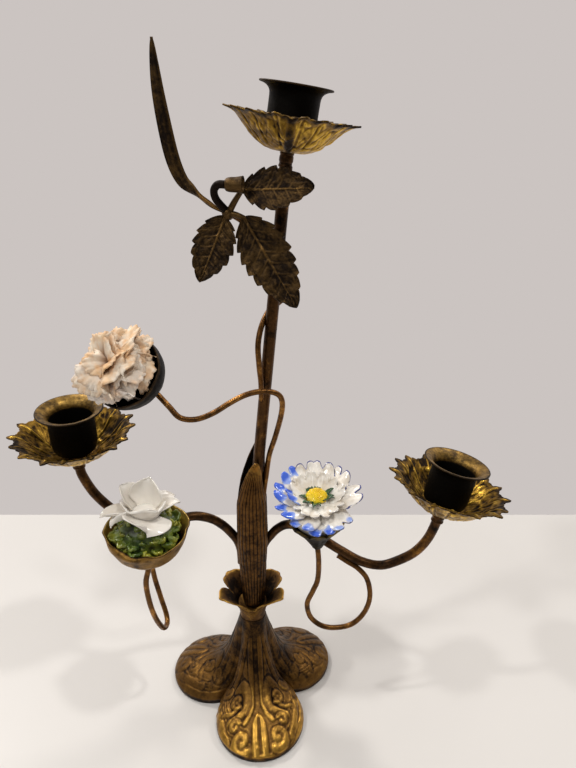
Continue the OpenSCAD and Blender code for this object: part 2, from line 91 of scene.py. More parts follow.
def grain(p, scale, seed=0):
    """Smooth lattice noise from 0 to 1 at each point of p."""
    q = np.asarray(p, float) * scale + seed * 17.37 + 400.0
    i = np.floor(q).astype(np.int64)
    f = q - i
    f = f * f * (3 - 2 * f)
    total = 0.0
    for dx in (0, 1):
        for dy in (0, 1):
            for dz in (0, 1):
                n = (i[..., 0] + dx) * 73856093 ^ (i[..., 1] + dy) * 19349663 ^ (i[..., 2] + dz) * 83492791
                n = (n ^ (n >> 13)) * 1274126177 & 0x7FFFFFFF
                n = (n ^ (n >> 15)) & 0xFFFF
                w = ((f[..., 0] if dx else 1 - f[..., 0]) * (f[..., 1] if dy else 1 - f[..., 1])
                     * (f[..., 2] if dz else 1 - f[..., 2]))
                total = total + w * n / 65535.0
    return total


def rough_grain(p, scale, seed=0):
    """Two octaves of lattice noise."""
    return 0.68 * grain(p, scale, seed) + 0.32 * grain(p, scale * 2.3, seed + 5)


def quads(rows, cols, start=0, wrap=False):
    i, j = np.meshgrid(np.arange(rows - 1), np.arange(cols if wrap else cols - 1), indexing="ij")
    a = start + i * cols + j
    b = start + i * cols + (j + 1) % cols
    return np.stack([a, b, b + cols, a + cols], -1).reshape(-1, 4).tolist()


def turned_out(points, faces):
    """The same faces, reversed if they enclose a negative volume."""
    total = 0.0
    for size in (3, 4):
        f = np.array([q for q in faces if len(q) == size])
        if len(f):
            for k in range(1, size - 1):
                total += np.sum(points[f[:, 0]] * np.cross(points[f[:, k]], points[f[:, k + 1]]))
    return faces if total > 0 else [q[::-1] for q in faces]


def sheet(front, back, wrap=False, front_marks=None, back_marks=None):
    """Closed skin between two grids of points: (points, faces, marks)."""
    rows, cols = front.shape[:2]
    n = rows * cols
    faces = quads(rows, cols, 0, wrap) + [q[::-1] for q in quads(rows, cols, n, wrap)]
    for j in range(cols if wrap else cols - 1):
        a, b = j, (j + 1) % cols
        faces.append([b, a, a + n, b + n])
        a, b = a + n - cols, b + n - cols
        faces.append([a, b, b + n, a + n])
    if not wrap:
        for i in range(rows - 1):
            a = i * cols
            faces.append([a, a + cols, a + cols + n, a + n])
            b = a + cols - 1
            faces.append([b + cols, b, b + n, b + cols + n])
    points = np.concatenate([front.reshape(-1, 3), back.reshape(-1, 3)])
    if front_marks is None:
        front_marks = np.full((rows, cols), 0.5)
    if back_marks is None:
        back_marks = front_marks
    marks = np.concatenate([front_marks.reshape(-1), back_marks.reshape(-1)])
    return points, turned_out(points, faces), marks


def ring_loop(grid, marks=None):
    """Closed skin over a grid whose rows and columns both run round to their start."""
    rows, cols = grid.shape[:2]
    faces = quads(rows, cols, 0, True)
    last = (rows - 1) * cols
    faces += [[last + j, last + (j + 1) % cols, (j + 1) % cols, j] for j in range(cols)]
    points = grid.reshape(-1, 3)
    marks = np.full(len(points), 0.5) if marks is None else marks.reshape(-1)
    return points, turned_out(points, faces), marks


def capped(grid, marks=None):
    """Closed skin over a grid of rings, with a fan over its first and last ring."""
    rows, cols = grid.shape[:2]
    points = np.concatenate([grid.reshape(-1, 3), [grid[0].mean(0)], [grid[-1].mean(0)]])
    faces = quads(rows, cols, 0, True)
    first, last, base = rows * cols, rows * cols + 1, (rows - 1) * cols
    faces += [[(j + 1) % cols, j, first] for j in range(cols)]
    faces += [[base + j, base + (j + 1) % cols, last] for j in range(cols)]
    flat = np.full(rows * cols, 0.5) if marks is None else marks.reshape(-1)
    marks = np.concatenate([flat, [flat[0], flat[-1]]])
    return points, turned_out(points, faces), marks


def joined(skins):
    """Several skins as one."""
    points, faces, marks, start = [], [], [], 0
    for p, f, m in skins:
        points.append(p)
        marks.append(m)
        faces += [[i + start for i in q] for q in f]
        start += len(p)
    return np.concatenate(points), faces, np.concatenate(marks)


def surface_normals(grid, wrap=False):
    if wrap:
        across = np.roll(grid, -1, 1) - np.roll(grid, 1, 1)
    else:
        across = np.gradient(grid, axis=1)
    return unit(np.cross(np.gradient(grid, axis=0), across))


def turned(profile, sides, unevenness=0.0, seed=0):
    """Lathe-turned grid from (radius, height) pairs, very slightly out of true."""
    a = np.linspace(0, 2 * np.pi, sides, endpoint=False)
    q = np.asarray(profile, float)
    grid = np.stack([q[:, :1] * np.cos(a), q[:, :1] * np.sin(a), np.repeat(q[:, 1:], sides, 1)], -1)
    if unevenness:
        wave = rough_grain(grid, 0.16, seed) - 0.5
        grid[..., :2] *= 1 + wave[..., None] * unevenness / 10
    return grid


def rounded(profile, steps=3):
    """A profile with its corners eased by cutting them twice."""
    q = [np.asarray(p, float) for p in profile]
    for _ in range(steps - 1):
        out = []
        for a, b in zip(q, q[1:] + q[:1]):
            out += [a * 0.78 + b * 0.22, a * 0.22 + b * 0.78]
        q = out
    return np.array(q)


def softened(values, times, wrap=True):
    """Values of a grid averaged with their neighbours."""
    v = values.copy()
    for _ in range(times):
        up, down = np.roll(v, 1, 0), np.roll(v, -1, 0)
        up[0], down[-1] = v[0], v[-1]
        left, right = np.roll(v, 1, 1), np.roll(v, -1, 1)
        if not wrap:
            left[:, 0], right[:, -1] = v[:, 0], v[:, -1]
        v = (v * 2 + up + down + left + right) / 6
    return v


def near(s, t, line):
    """Distance of each (s, t) from a broken line."""
    best = np.full(s.shape, 1e9)
    for (s0, t0), (s1, t1) in zip(line[:-1], line[1:]):
        ds, dt = s1 - s0, t1 - t0
        k = np.clip(((s - s0) * ds + (t - t0) * dt) / (ds * ds + dt * dt + 1e-9), 0, 1)
        best = np.minimum(best, np.hypot(s - s0 - k * ds, t - t0 - k * dt))
    return best


def bead(distance, width, height):
    """Rounded raised band over a distance from its middle."""
    return height * np.sqrt(np.clip(1 - (distance / width) ** 2, 0, 1))


def holder_place(which):
    """Matrix from a holder's own frame, seat at its origin, to the model's frame."""
    seat, about_x, about_y = HOLDERS[which]
    turn = Euler((math.radians(about_x), math.radians(about_y), 0)).to_matrix()
    return np.array(turn), np.asarray(seat, float)


def placed(skin, turn, move):
    points, faces, marks = skin
    return points @ np.asarray(turn).T + np.asarray(move, float), faces, marks


def turn_matrix(x, y, z):
    """Rotation about X, then Y, then Z, in degrees."""
    return np.array(Euler((math.radians(x), math.radians(y), math.radians(z))).to_matrix())


def piece(name, skin, body, finish, replaces=(), extra=None):
    """Makes a mesh piece, lets it ride on its body and stand for its CAD nodes."""
    points, faces, marks = skin
    mesh = bpy.data.meshes.new(name)
    mesh.from_pydata((points * MM).tolist(), [], faces)
    mesh.attributes.new("relief", "FLOAT", "POINT").data.foreach_set("value", marks.astype(np.float32))
    for key, values in (extra or {}).items():
        mesh.attributes.new(key, "FLOAT", "POINT").data.foreach_set("value", values.astype(np.float32))
    mesh.shade_smooth()
    mesh.materials.append(finish)
    obj = bpy.data.objects.new(name, mesh)
    bpy.context.scene.collection.objects.link(obj)
    settle(obj, body, replaces)
    return obj


def settle(obj, body, replaces):
    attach(obj, body)
    if replaces:
        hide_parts(*replaces)


# ---- geometry node trees ----

def new_tree(name, inputs):
    """Geometry tree with a geometry input and output and the named inputs."""
    tree = bpy.data.node_groups.new(name, "GeometryNodeTree")
    tree.is_modifier = True
    tree.interface.new_socket("Geometry", in_out="INPUT", socket_type="NodeSocketGeometry")
    for label, kind, value in inputs:
        socket = tree.interface.new_socket(label, in_out="INPUT", socket_type=kind)
        if value is not None:
            socket.default_value = value
    tree.interface.new_socket("Geometry", in_out="OUTPUT", socket_type="NodeSocketGeometry")
    return tree


def add(tree, kind, **settings):
    node = tree.nodes.new(kind)
    for key, value in settings.items():
        setattr(node, key, value)
    return node


def rod_tree():
    """Sweeps a round rod along a route and dents it a little, as a hand-bent wire is."""
    tree = new_tree("Bent rod", [
        ("Rod radius", "NodeSocketFloat", 0.002), ("Sides", "NodeSocketInt", 16),
        ("Hammering", "NodeSocketFloat", 0.0001), ("Hammer spacing", "NodeSocketFloat", 120.0),
        ("Finish", "NodeSocketMaterial", None),
    ])
    link = tree.links.new
    given = add(tree, "NodeGroupInput")
    result = add(tree, "NodeGroupOutput")
    to_curve = add(tree, "GeometryNodeMeshToCurve")
    circle = add(tree, "GeometryNodeCurvePrimitiveCircle")
    sweep = add(tree, "GeometryNodeCurveToMesh")
    sweep.inputs["Fill Caps"].default_value = True
    noise = add(tree, "ShaderNodeTexNoise")
    noise.inputs["Detail"].default_value = 2.0
    centred = add(tree, "ShaderNodeMath", operation="SUBTRACT")
    centred.inputs[1].default_value = 0.5
    deep = add(tree, "ShaderNodeMath", operation="MULTIPLY")
    normal = add(tree, "GeometryNodeInputNormal")
    push = add(tree, "ShaderNodeVectorMath", operation="SCALE")
    move = add(tree, "GeometryNodeSetPosition")
    smooth = add(tree, "GeometryNodeSetShadeSmooth")
    real = add(tree, "GeometryNodeRealizeInstances")
    paint = add(tree, "GeometryNodeSetMaterial")
    link(given.outputs["Geometry"], to_curve.inputs["Mesh"])
    link(to_curve.outputs["Curve"], sweep.inputs["Curve"])
    link(given.outputs["Rod radius"], circle.inputs["Radius"])
    link(given.outputs["Sides"], circle.inputs["Resolution"])
    link(circle.outputs["Curve"], sweep.inputs["Profile Curve"])
    link(given.outputs["Hammer spacing"], noise.inputs["Scale"])
    link(noise.outputs[0], centred.inputs[0])
    link(centred.outputs[0], deep.inputs[0])
    link(given.outputs["Hammering"], deep.inputs[1])
    link(normal.outputs["Normal"], push.inputs[0])
    link(deep.outputs[0], push.inputs["Scale"])
    link(sweep.outputs["Mesh"], move.inputs["Geometry"])
    link(push.outputs[0], move.inputs["Offset"])
    link(move.outputs["Geometry"], smooth.inputs["Geometry"])
    link(smooth.outputs["Geometry"], real.inputs["Geometry"])
    link(real.outputs["Geometry"], paint.inputs["Geometry"])
    link(given.outputs["Finish"], paint.inputs["Material"])
    link(paint.outputs["Geometry"], result.inputs["Geometry"])
    return tree


def copies_tree():
    """Sets copies of up to three shapes on points that carry their turn, size and kind."""
    tree = new_tree("Set copies", [
        ("Shape A", "NodeSocketObject", None), ("Shape B", "NodeSocketObject", None),
        ("Shape C", "NodeSocketObject", None), ("Overall size", "NodeSocketFloat", 1.0),
        ("Finish", "NodeSocketMaterial", None),
    ])
    link = tree.links.new
    given = add(tree, "NodeGroupInput")
    result = add(tree, "NodeGroupOutput")
    gather = add(tree, "GeometryNodeJoinGeometry")
    for label in ("Shape C", "Shape B", "Shape A"):
        info = add(tree, "GeometryNodeObjectInfo")
        info.inputs["As Instance"].default_value = True
        link(given.outputs[label], info.inputs["Object"])
        link(info.outputs["Geometry"], gather.inputs["Geometry"])
    to_points = add(tree, "GeometryNodeMeshToPoints")
    place = add(tree, "GeometryNodeInstanceOnPoints")
    place.inputs["Pick Instance"].default_value = True
    named = {}
    for label, kind in (("turn", "FLOAT_VECTOR"), ("size", "FLOAT_VECTOR"), ("kind", "INT")):
        named[label] = add(tree, "GeometryNodeInputNamedAttribute", data_type=kind)
        named[label].inputs["Name"].default_value = label
    scale = add(tree, "ShaderNodeVectorMath", operation="SCALE")
    real = add(tree, "GeometryNodeRealizeInstances")
    smooth = add(tree, "GeometryNodeSetShadeSmooth")
    paint = add(tree, "GeometryNodeSetMaterial")
    link(given.outputs["Geometry"], to_points.inputs["Mesh"])
    link(to_points.outputs["Points"], place.inputs["Points"])
    link(gather.outputs["Geometry"], place.inputs["Instance"])
    link(named["kind"].outputs["Attribute"], place.inputs["Instance Index"])
    link(named["turn"].outputs["Attribute"], place.inputs["Rotation"])
    link(named["size"].outputs["Attribute"], scale.inputs[0])
    link(given.outputs["Overall size"], scale.inputs["Scale"])
    link(scale.outputs[0], place.inputs["Scale"])
    link(place.outputs["Instances"], real.inputs["Geometry"])
    link(real.outputs["Geometry"], smooth.inputs["Geometry"])
    link(smooth.outputs["Geometry"], paint.inputs["Geometry"])
    link(given.outputs["Finish"], paint.inputs["Material"])
    link(paint.outputs["Geometry"], result.inputs["Geometry"])
    return tree


def grown(source, tree, values, name):
    """Runs a tree on a source mesh and returns the result as a plain mesh."""
    holder = bpy.data.objects.new(name + "_source", source)
    bpy.context.scene.collection.objects.link(holder)
    modifier = holder.modifiers.new("Made by rule", "NODES")
    modifier.node_group = tree
    ids = {s.name: s.identifier for s in tree.interface.items_tree if s.in_out == "INPUT"}
    for label, value in values.items():
        modifier[ids[label]] = value
    depsgraph = bpy.context.evaluated_depsgraph_get()
    mesh = bpy.data.meshes.new_from_object(holder.evaluated_get(depsgraph))
    mesh.name = name
    bpy.data.objects.remove(holder)
    bpy.data.meshes.remove(source)
    return mesh


def rod(name, route, radius, body, finish, replaces, steps=5, sides=18, hammering=0.12):
    """Rod or wire swept along its route by the rod tree."""
    path = along(route, steps) * MM
    line = bpy.data.meshes.new(name + "_route")
    line.from_pydata(path.tolist(), [(i, i + 1) for i in range(len(path) - 1)], [])
    mesh = grown(line, ROD_TREE, {
        "Rod radius": radius * MM, "Sides": sides, "Hammering": hammering * MM, "Finish": finish,
    }, name)
    obj = bpy.data.objects.new(name, mesh)
    bpy.context.scene.collection.objects.link(obj)
    settle(obj, body, replaces)
    return obj


def shape_object(name, skin, extra=None):
    """Unshown shape for the copies tree."""
    points, faces, marks = skin
    mesh = bpy.data.meshes.new(name)
    mesh.from_pydata((points * MM).tolist(), [], faces)
    mesh.attributes.new("relief", "FLOAT", "POINT").data.foreach_set("value", marks.astype(np.float32))
    for key, values in (extra or {}).items():
        mesh.attributes.new(key, "FLOAT", "POINT").data.foreach_set("value", values.astype(np.float32))
    obj = bpy.data.objects.new(name, mesh)
    bpy.context.scene.collection.objects.link(obj)
    return obj


def copies(name, shapes, spots, body, finish, replaces):
    """Copies of shapes at spots: rows of (place, turn matrix, size triple, kind, tint)."""
    source = bpy.data.meshes.new(name + "_spots")
    source.from_pydata([(np.asarray(s[0]) * MM).tolist() for s in spots], [], [])
    turns = [tuple(Matrix(s[1].tolist()).to_euler()) for s in spots]
    source.attributes.new("turn", "FLOAT_VECTOR", "POINT").data.foreach_set(
        "vector", np.array(turns, np.float32).reshape(-1))
    source.attributes.new("size", "FLOAT_VECTOR", "POINT").data.foreach_set(
        "vector", np.array([s[2] for s in spots], np.float32).reshape(-1))
    source.attributes.new("kind", "INT", "POINT").data.foreach_set("value", [s[3] for s in spots])
    source.attributes.new("tint_and_light", "FLOAT", "POINT").data.foreach_set(
        "value", np.array([s[4] for s in spots], np.float32))
    trio = (shapes * 3)[:3]
    mesh = grown(source, COPIES_TREE, {
        "Shape A": trio[0], "Shape B": trio[1], "Shape C": trio[2], "Finish": finish,
    }, name)
    for shape in shapes:
        bpy.data.objects.remove(shape)
    obj = bpy.data.objects.new(name, mesh)
    bpy.context.scene.collection.objects.link(obj)
    settle(obj, body, replaces)
    return obj


# ---- finishes ----

BRASS_METALLIC = 0.88
GLAZE_DEPTH = 0.00012

def colour(code):
    """Linear colour from a six-digit sRGB code."""
    parts = [int(code[i:i + 2], 16) / 255 for i in (0, 2, 4)]
    return tuple(c / 12.92 if c < 0.04045 else ((c + 0.055) / 1.055) ** 2.4 for c in parts) + (1.0,)


def new_group(name, inputs, outputs):
    group = bpy.data.node_groups.new(name, "ShaderNodeTree")
    for label, kind, value in inputs:
        socket = group.interface.new_socket(label, in_out="INPUT", socket_type=kind)
        if value is not None:
            socket.default_value = value
    for label, kind in outputs:
        group.interface.new_socket(label, in_out="OUTPUT", socket_type=kind)
    return group, add(group, "NodeGroupInput"), add(group, "NodeGroupOutput")


def sum_of(tree, terms, offset=0.0):
    """Clamped sum of (socket, weight) terms and an offset."""
    total = None
    for socket, weight in terms:
        node = add(tree, "ShaderNodeMath", operation="MULTIPLY_ADD")
        tree.links.new(socket, node.inputs[0])
        if hasattr(weight, "links"):
            tree.links.new(weight, node.inputs[1])
        else:
            node.inputs[1].default_value = weight
        if total is None:
            node.inputs[2].default_value = offset
        else:
            tree.links.new(total, node.inputs[2])
        total = node.outputs[0]
    node.use_clamp = True
    return total


def eased(tree, socket, low, high, to_low=0.0, to_high=1.0):
    node = add(tree, "ShaderNodeMapRange", interpolation_type="SMOOTHSTEP")
    tree.links.new(socket, node.inputs["Value"])
    for label, value in (("From Min", low), ("From Max", high), ("To Min", to_low), ("To Max", to_high)):
        node.inputs[label].default_value = value
    return node.outputs["Result"]


def blend_colour(tree, factor, first, second):
    node = add(tree, "ShaderNodeMix", data_type="RGBA", blend_type="MIX")
    ports = {s.identifier: s for s in node.inputs}
    for port, value in (("Factor_Float", factor), ("A_Color", first), ("B_Color", second)):
        if hasattr(value, "links"):
            tree.links.new(value, ports[port])
        else:
            ports[port].default_value = value
    return {s.identifier: s for s in node.outputs}["Result_Color"]


def texture(tree, kind, vector, scale, **values):
    node = add(tree, kind)
    tree.links.new(vector, node.inputs["Vector"])
    if hasattr(scale, "links"):
        tree.links.new(scale, node.inputs["Scale"])
    else:
        node.inputs["Scale"].default_value = scale
    for label, value in values.items():
        node.inputs[label].default_value = value
    return node


def patina_group():
    """Worn gilding over brown lacquered brass: gold on what stands proud, grime in what is deep, and painted
    shade where a piece marks a whole shaded surface low.
    """
    group, given, result = new_group("Worn gilding", [
        ("Vector", "NodeSocketVector", None), ("Standing proud", "NodeSocketFloat", 0.5),
        ("Gilding left", "NodeSocketFloat", 0.5), ("Patch size", "NodeSocketFloat", 70.0),
        ("Patchiness", "NodeSocketFloat", 0.3),
        ("Dirt and shade", "NodeSocketColor", None), ("Lacquer", "NodeSocketColor", None),
        ("Gilding", "NodeSocketColor", None),
    ], [("Color", "NodeSocketColor"), ("Roughness", "NodeSocketFloat"), ("Height", "NodeSocketFloat")])
    link = group.links.new
    vector = given.outputs["Vector"]
    patches = texture(group, "ShaderNodeTexNoise", vector, given.outputs["Patch size"],
                      Detail=5.0, Roughness=0.62, Distortion=0.6)
    fine = texture(group, "ShaderNodeTexNoise", vector, 620.0, Detail=4.0, Roughness=0.7)
    pits = texture(group, "ShaderNodeTexVoronoi", vector, 520.0)
    centred = eased(group, patches.outputs[0], 0.3, 0.7)
    flecks = texture(group, "ShaderNodeTexNoise", vector, 260.0, Detail=4.0, Roughness=0.65)
    mask = sum_of(group, [
        (given.outputs["Standing proud"], 0.95), (centred, given.outputs["Patchiness"]),
        (fine.outputs[0], 0.35), (flecks.outputs[0], 0.55), (given.outputs["Gilding left"], 1.0),
    ], -1.1)
    to_lacquer = eased(group, mask, 0.08, 0.42)
    to_gold = eased(group, mask, 0.4, 0.86)
    base = blend_colour(group, to_lacquer, given.outputs["Dirt and shade"], given.outputs["Lacquer"])
    base = blend_colour(group, to_gold, base, given.outputs["Gilding"])
    spots = eased(group, fine.outputs[0], 0.62, 0.76, 0.0, 0.55)
    base = blend_colour(group, spots, base, given.outputs["Dirt and shade"])
    link(base, result.inputs["Color"])
    shine = sum_of(group, [(mask, -0.3), (fine.outputs[0], 0.22)], 0.5)
    link(shine, result.inputs["Roughness"])
    height = sum_of(group, [(fine.outputs[0], 0.55), (pits.outputs["Distance"], 0.35), (centred, 0.1)])
    link(height, result.inputs["Height"])
    return group


def glaze_group():
    """Fired glaze: faint pooling of colour, pinholes, and in the folds grey grime with painted shade."""
    group, given, result = new_group("Fired glaze", [
        ("Vector", "NodeSocketVector", None), ("Standing proud", "NodeSocketFloat", 0.5),
        ("Clay", "NodeSocketColor", None), ("Pooled", "NodeSocketColor", None),
        ("Pooling size", "NodeSocketFloat", 120.0), ("Grime and fold shade", "NodeSocketFloat", 0.4),
        ("Colour of grime and fold shade", "NodeSocketColor", (0.24, 0.19, 0.13, 1.0)),
    ], [("Color", "NodeSocketColor"), ("Roughness", "NodeSocketFloat"), ("Height", "NodeSocketFloat")])
    link = group.links.new
    vector = given.outputs["Vector"]
    pools = texture(group, "ShaderNodeTexNoise", vector, given.outputs["Pooling size"],
                    Detail=3.0, Roughness=0.55)
    fine = texture(group, "ShaderNodeTexNoise", vector, 900.0, Detail=3.0, Roughness=0.6)
    pooled = eased(group, pools.outputs[0], 0.42, 0.68)
    base = blend_colour(group, pooled, given.outputs["Clay"], given.outputs["Pooled"])
    # Low relief is painted darker: partly grime, partly painted shade in the folds
    folds = eased(group, given.outputs["Standing proud"], 0.0, 0.55, 1.0, 0.0)
    node = add(group, "ShaderNodeMath", operation="MULTIPLY")
    link(folds, node.inputs[0])
    link(given.outputs["Grime and fold shade"], node.inputs[1])
    base = blend_colour(group, node.outputs[0], base, given.outputs["Colour of grime and fold shade"])
    link(base, result.inputs["Color"])
    link(sum_of(group, [(pools.outputs[0], 0.16), (fine.outputs[0], 0.14), (node.outputs[0], 0.4)]),
         result.inputs["Roughness"])
    link(sum_of(group, [(pools.outputs[0], 0.5), (fine.outputs[0], 0.3)]), result.inputs["Height"])
    return group


def start_material(name):
    material = bpy.data.materials.new(name)
    material.use_nodes = True
    tree = material.node_tree
    tree.nodes.clear()
    shader = add(tree, "ShaderNodeBsdfPrincipled")
    out = add(tree, "ShaderNodeOutputMaterial")
    tree.links.new(shader.outputs[0], out.inputs["Surface"])
    place = add(tree, "ShaderNodeTexCoord")
    return material, tree, shader, place.outputs["Object"]


def mark(tree, name):
    node = add(tree, "ShaderNodeAttribute", attribute_name=name)
    return node.outputs["Fac"]


def dented(tree, shader, height, depth):
    node = add(tree, "ShaderNodeBump")
    node.inputs["Distance"].default_value = depth
    node.inputs["Strength"].default_value = 1.0
    tree.links.new(height, node.inputs["Height"])
    tree.links.new(node.outputs["Normal"], shader.inputs["Normal"])


def brass(name, dirt_and_shade, lacquer, gilding, left, patch=70.0, relief=True, depth=0.00022, patchy=0.3,
          polish=0.0):
    """Aged brass in the shades given, with the worn gilding of the shared group; the darkest one is grime in
    hollows and painted shade on surfaces marked low.
    """
    material, tree, shader, place = start_material(name)
    worn = add(tree, "ShaderNodeGroup", node_tree=PATINA)
    worn.inputs["Gilding left"].default_value = left
    worn.inputs["Patch size"].default_value = patch
    worn.inputs["Patchiness"].default_value = patchy
    worn.inputs["Dirt and shade"].default_value = colour(dirt_and_shade)
    worn.inputs["Lacquer"].default_value = colour(lacquer)
    worn.inputs["Gilding"].default_value = colour(gilding)
    tree.links.new(place, worn.inputs["Vector"])
    if relief:
        tree.links.new(mark(tree, "relief"), worn.inputs["Standing proud"])
    shader.inputs["Metallic"].default_value = BRASS_METALLIC
    tree.links.new(worn.outputs["Color"], shader.inputs["Base Color"])
    tree.links.new(sum_of(tree, [(worn.outputs["Roughness"], 1.0)], -polish), shader.inputs["Roughness"])
    dented(tree, shader, worn.outputs["Height"], depth)
    return material


def glazed(name, clay, pooled, size, grime_and_fold_shade, coat):
    """Glazed porcelain in one colour."""
    material, tree, shader, place = start_material(name)
    fired = add(tree, "ShaderNodeGroup", node_tree=GLAZE)
    fired.inputs["Clay"].default_value = colour(clay)
    fired.inputs["Pooled"].default_value = colour(pooled)
    fired.inputs["Pooling size"].default_value = size
    fired.inputs["Grime and fold shade"].default_value = grime_and_fold_shade
    tree.links.new(place, fired.inputs["Vector"])
    tree.links.new(mark(tree, "relief"), fired.inputs["Standing proud"])
    tree.links.new(fired.outputs["Color"], shader.inputs["Base Color"])
    tree.links.new(fired.outputs["Roughness"], shader.inputs["Roughness"])
    shader.inputs["Coat Weight"].default_value = coat
    dented(tree, shader, fired.outputs["Height"], GLAZE_DEPTH)
    return material


def carnation_finish():
    """Unglazed porcelain petals, cream at their edges and ochre in the folds, that ochre partly grime and
    partly painted shade; down-turned petals are painted greyer, as in shade.
    """
    material, tree, shader, place = start_material("carnation_bisque")
    fired = add(tree, "ShaderNodeGroup", node_tree=GLAZE)
    fired.inputs["Clay"].default_value = colour("eee0cc")
    fired.inputs["Pooled"].default_value = colour("e8c8a0")
    fired.inputs["Pooling size"].default_value = 110.0
    fired.inputs["Grime and fold shade"].default_value = 0.85
    fired.inputs["Colour of grime and fold shade"].default_value = colour("8a5c33")
    tree.links.new(place, fired.inputs["Vector"])
    tree.links.new(mark(tree, "relief"), fired.inputs["Standing proud"])
    # This mark is high on petals that point up: they get more ochre, as if lit, and down-turned petals are
    # painted greyer, as in shade
    tint_and_light = mark(tree, "tint_and_light")
    pale = eased(tree, tint_and_light, 0.15, 0.6, 0.6, 0.0)
    base = blend_colour(tree, pale, fired.outputs["Color"], colour("e6deda"))
    spots = texture(tree, "ShaderNodeTexNoise", place, 210.0, Detail=3.0)
    edge = mark(tree, "reach")
    brush = sum_of(tree, [(edge, 0.45), (spots.outputs[0], 1.5), (tint_and_light, 0.4)], -1.2)
    base = blend_colour(tree, eased(tree, brush, 0.05, 0.5, 0.0, 0.6), base, colour("dba66a"))
    tree.links.new(base, shader.inputs["Base Color"])
    tree.links.new(sum_of(tree, [(fired.outputs["Roughness"], 0.5)], 0.5), shader.inputs["Roughness"])
    dented(tree, shader, fired.outputs["Height"], 0.0003)
    return material


def daisy_finish():
    """White glazed petals with cobalt blue brushed on their edges."""
    material, tree, shader, place = start_material("daisy_glaze")
    fired = add(tree, "ShaderNodeGroup", node_tree=GLAZE)
    fired.inputs["Clay"].default_value = colour("f0ebe2")
    fired.inputs["Pooled"].default_value = colour("d9cfc0")
    fired.inputs["Pooling size"].default_value = 160.0
    # The folds take a warm beige that is partly grime and partly painted shade
    fired.inputs["Grime and fold shade"].default_value = 0.6
    fired.inputs["Colour of grime and fold shade"].default_value = colour("a98a62")
    tree.links.new(place, fired.inputs["Vector"])
    tree.links.new(mark(tree, "relief"), fired.inputs["Standing proud"])
    brush = texture(tree, "ShaderNodeTexNoise", place, 420.0, Detail=3.0, Roughness=0.6)
    wash = sum_of(tree, [(mark(tree, "blue"), 1.1), (brush.outputs[0], 0.5)], -0.38)
    soft = eased(tree, wash, 0.28, 0.52)
    strong = eased(tree, wash, 0.56, 0.95)
    base = blend_colour(tree, soft, fired.outputs["Color"], colour("8fa7e6"))
    base = blend_colour(tree, strong, base, colour("3a63d4"))
    line = eased(tree, mark(tree, "line"), 0.45, 0.8)
    base = blend_colour(tree, line, base, colour("27357c"))
    tree.links.new(base, shader.inputs["Base Color"])
    tree.links.new(fired.outputs["Roughness"], shader.inputs["Roughness"])
    shader.inputs["Coat Weight"].default_value = 0.4
    shader.inputs["Coat Roughness"].default_value = 0.12
    dented(tree, shader, fired.outputs["Height"], GLAZE_DEPTH)
    return material


def moss_finish():
    """Leaf-green glaze that runs from yellow-green on the lumps, partly a painted highlight, to near black
    between them, which is painted shade.
    """
    material, tree, shader, place = start_material("moss_glaze")
    fired = add(tree, "ShaderNodeGroup", node_tree=GLAZE)
    fired.inputs["Clay"].default_value = colour("6c7f2f")
    fired.inputs["Pooled"].default_value = colour("33491f")
    fired.inputs["Pooling size"].default_value = 130.0
    fired.inputs["Grime and fold shade"].default_value = 0.95
    fired.inputs["Colour of grime and fold shade"].default_value = colour("11160a")
    tree.links.new(place, fired.inputs["Vector"])
    tree.links.new(mark(tree, "relief"), fired.inputs["Standing proud"])
    wash = texture(tree, "ShaderNodeTexNoise", place, 85.0, Detail=2.0)
    # Yellow-green where the wash, the lumps and each leaf's own mark are high: partly random tone, partly a
    # painted highlight
    lit = sum_of(tree, [(wash.outputs[0], 1.2), (mark(tree, "relief"), 0.8), (mark(tree, "tint_and_light"), 0.6)],
                 -1.15)
    base = blend_colour(tree, eased(tree, lit, 0.1, 0.8), fired.outputs["Color"], colour("a3a238"))
    tree.links.new(base, shader.inputs["Base Color"])
    tree.links.new(sum_of(tree, [(fired.outputs["Roughness"], 1.0)], 0.06), shader.inputs["Roughness"])
    shader.inputs["Coat Weight"].default_value = 0.5
    dented(tree, shader, fired.outputs["Height"], 0.0003)
    return material


# ---- base ----

LOBE_REACH = 56.5
LOBE_HALF_W = 25.5
LOBE_SHIFT = LOBE_REACH - LOBE_HALF_W * 1.06
BASE_EDGE_H = 3.0
# The rim is drawn in by this much, so that it stays within the model's box
BASE_EDGE_GAP = 0.08
BASE_WALL = 2.2
BASE_TURN = math.radians(-81.0)
BOSS_H = 13.0


def lobe_edge(angle):
    rho = LOBE_REACH - LOBE_SHIFT
    off = (angle + math.pi / 3) % (2 * math.pi / 3) - math.pi / 3
    return LOBE_SHIFT * np.cos(off) + np.sqrt(rho ** 2 - (LOBE_SHIFT * np.sin(off)) ** 2)


def base_height(u):
    return BASE_EDGE_H + (NECK_Z - BASE_EDGE_H) * (0.8 * (1 - u) ** 4.5 + 0.2 * (1 - u ** 4))


def spiral(centre, radius_in, radius_out, start, turns):
    """Points of a curl that opens outwards from its eye."""
    k = np.linspace(0, 1, int(14 * abs(turns)) + 2)
    r = radius_in + (radius_out - radius_in) * k
    a = math.radians(start) + 2 * math.pi * turns * k
    return [(centre[0] + r_ * math.cos(a_), centre[1] + r_ * math.sin(a_)) for r_, a_ in zip(r, a)]


def ridge(h, distance, width, high):
    """Raised band on a relief, with a narrow sunk line down each of its sides."""
    h = np.maximum(h, bead(distance, width, high))
    return h - bead(np.abs(distance - width * 1.15), 0.45, 0.45)


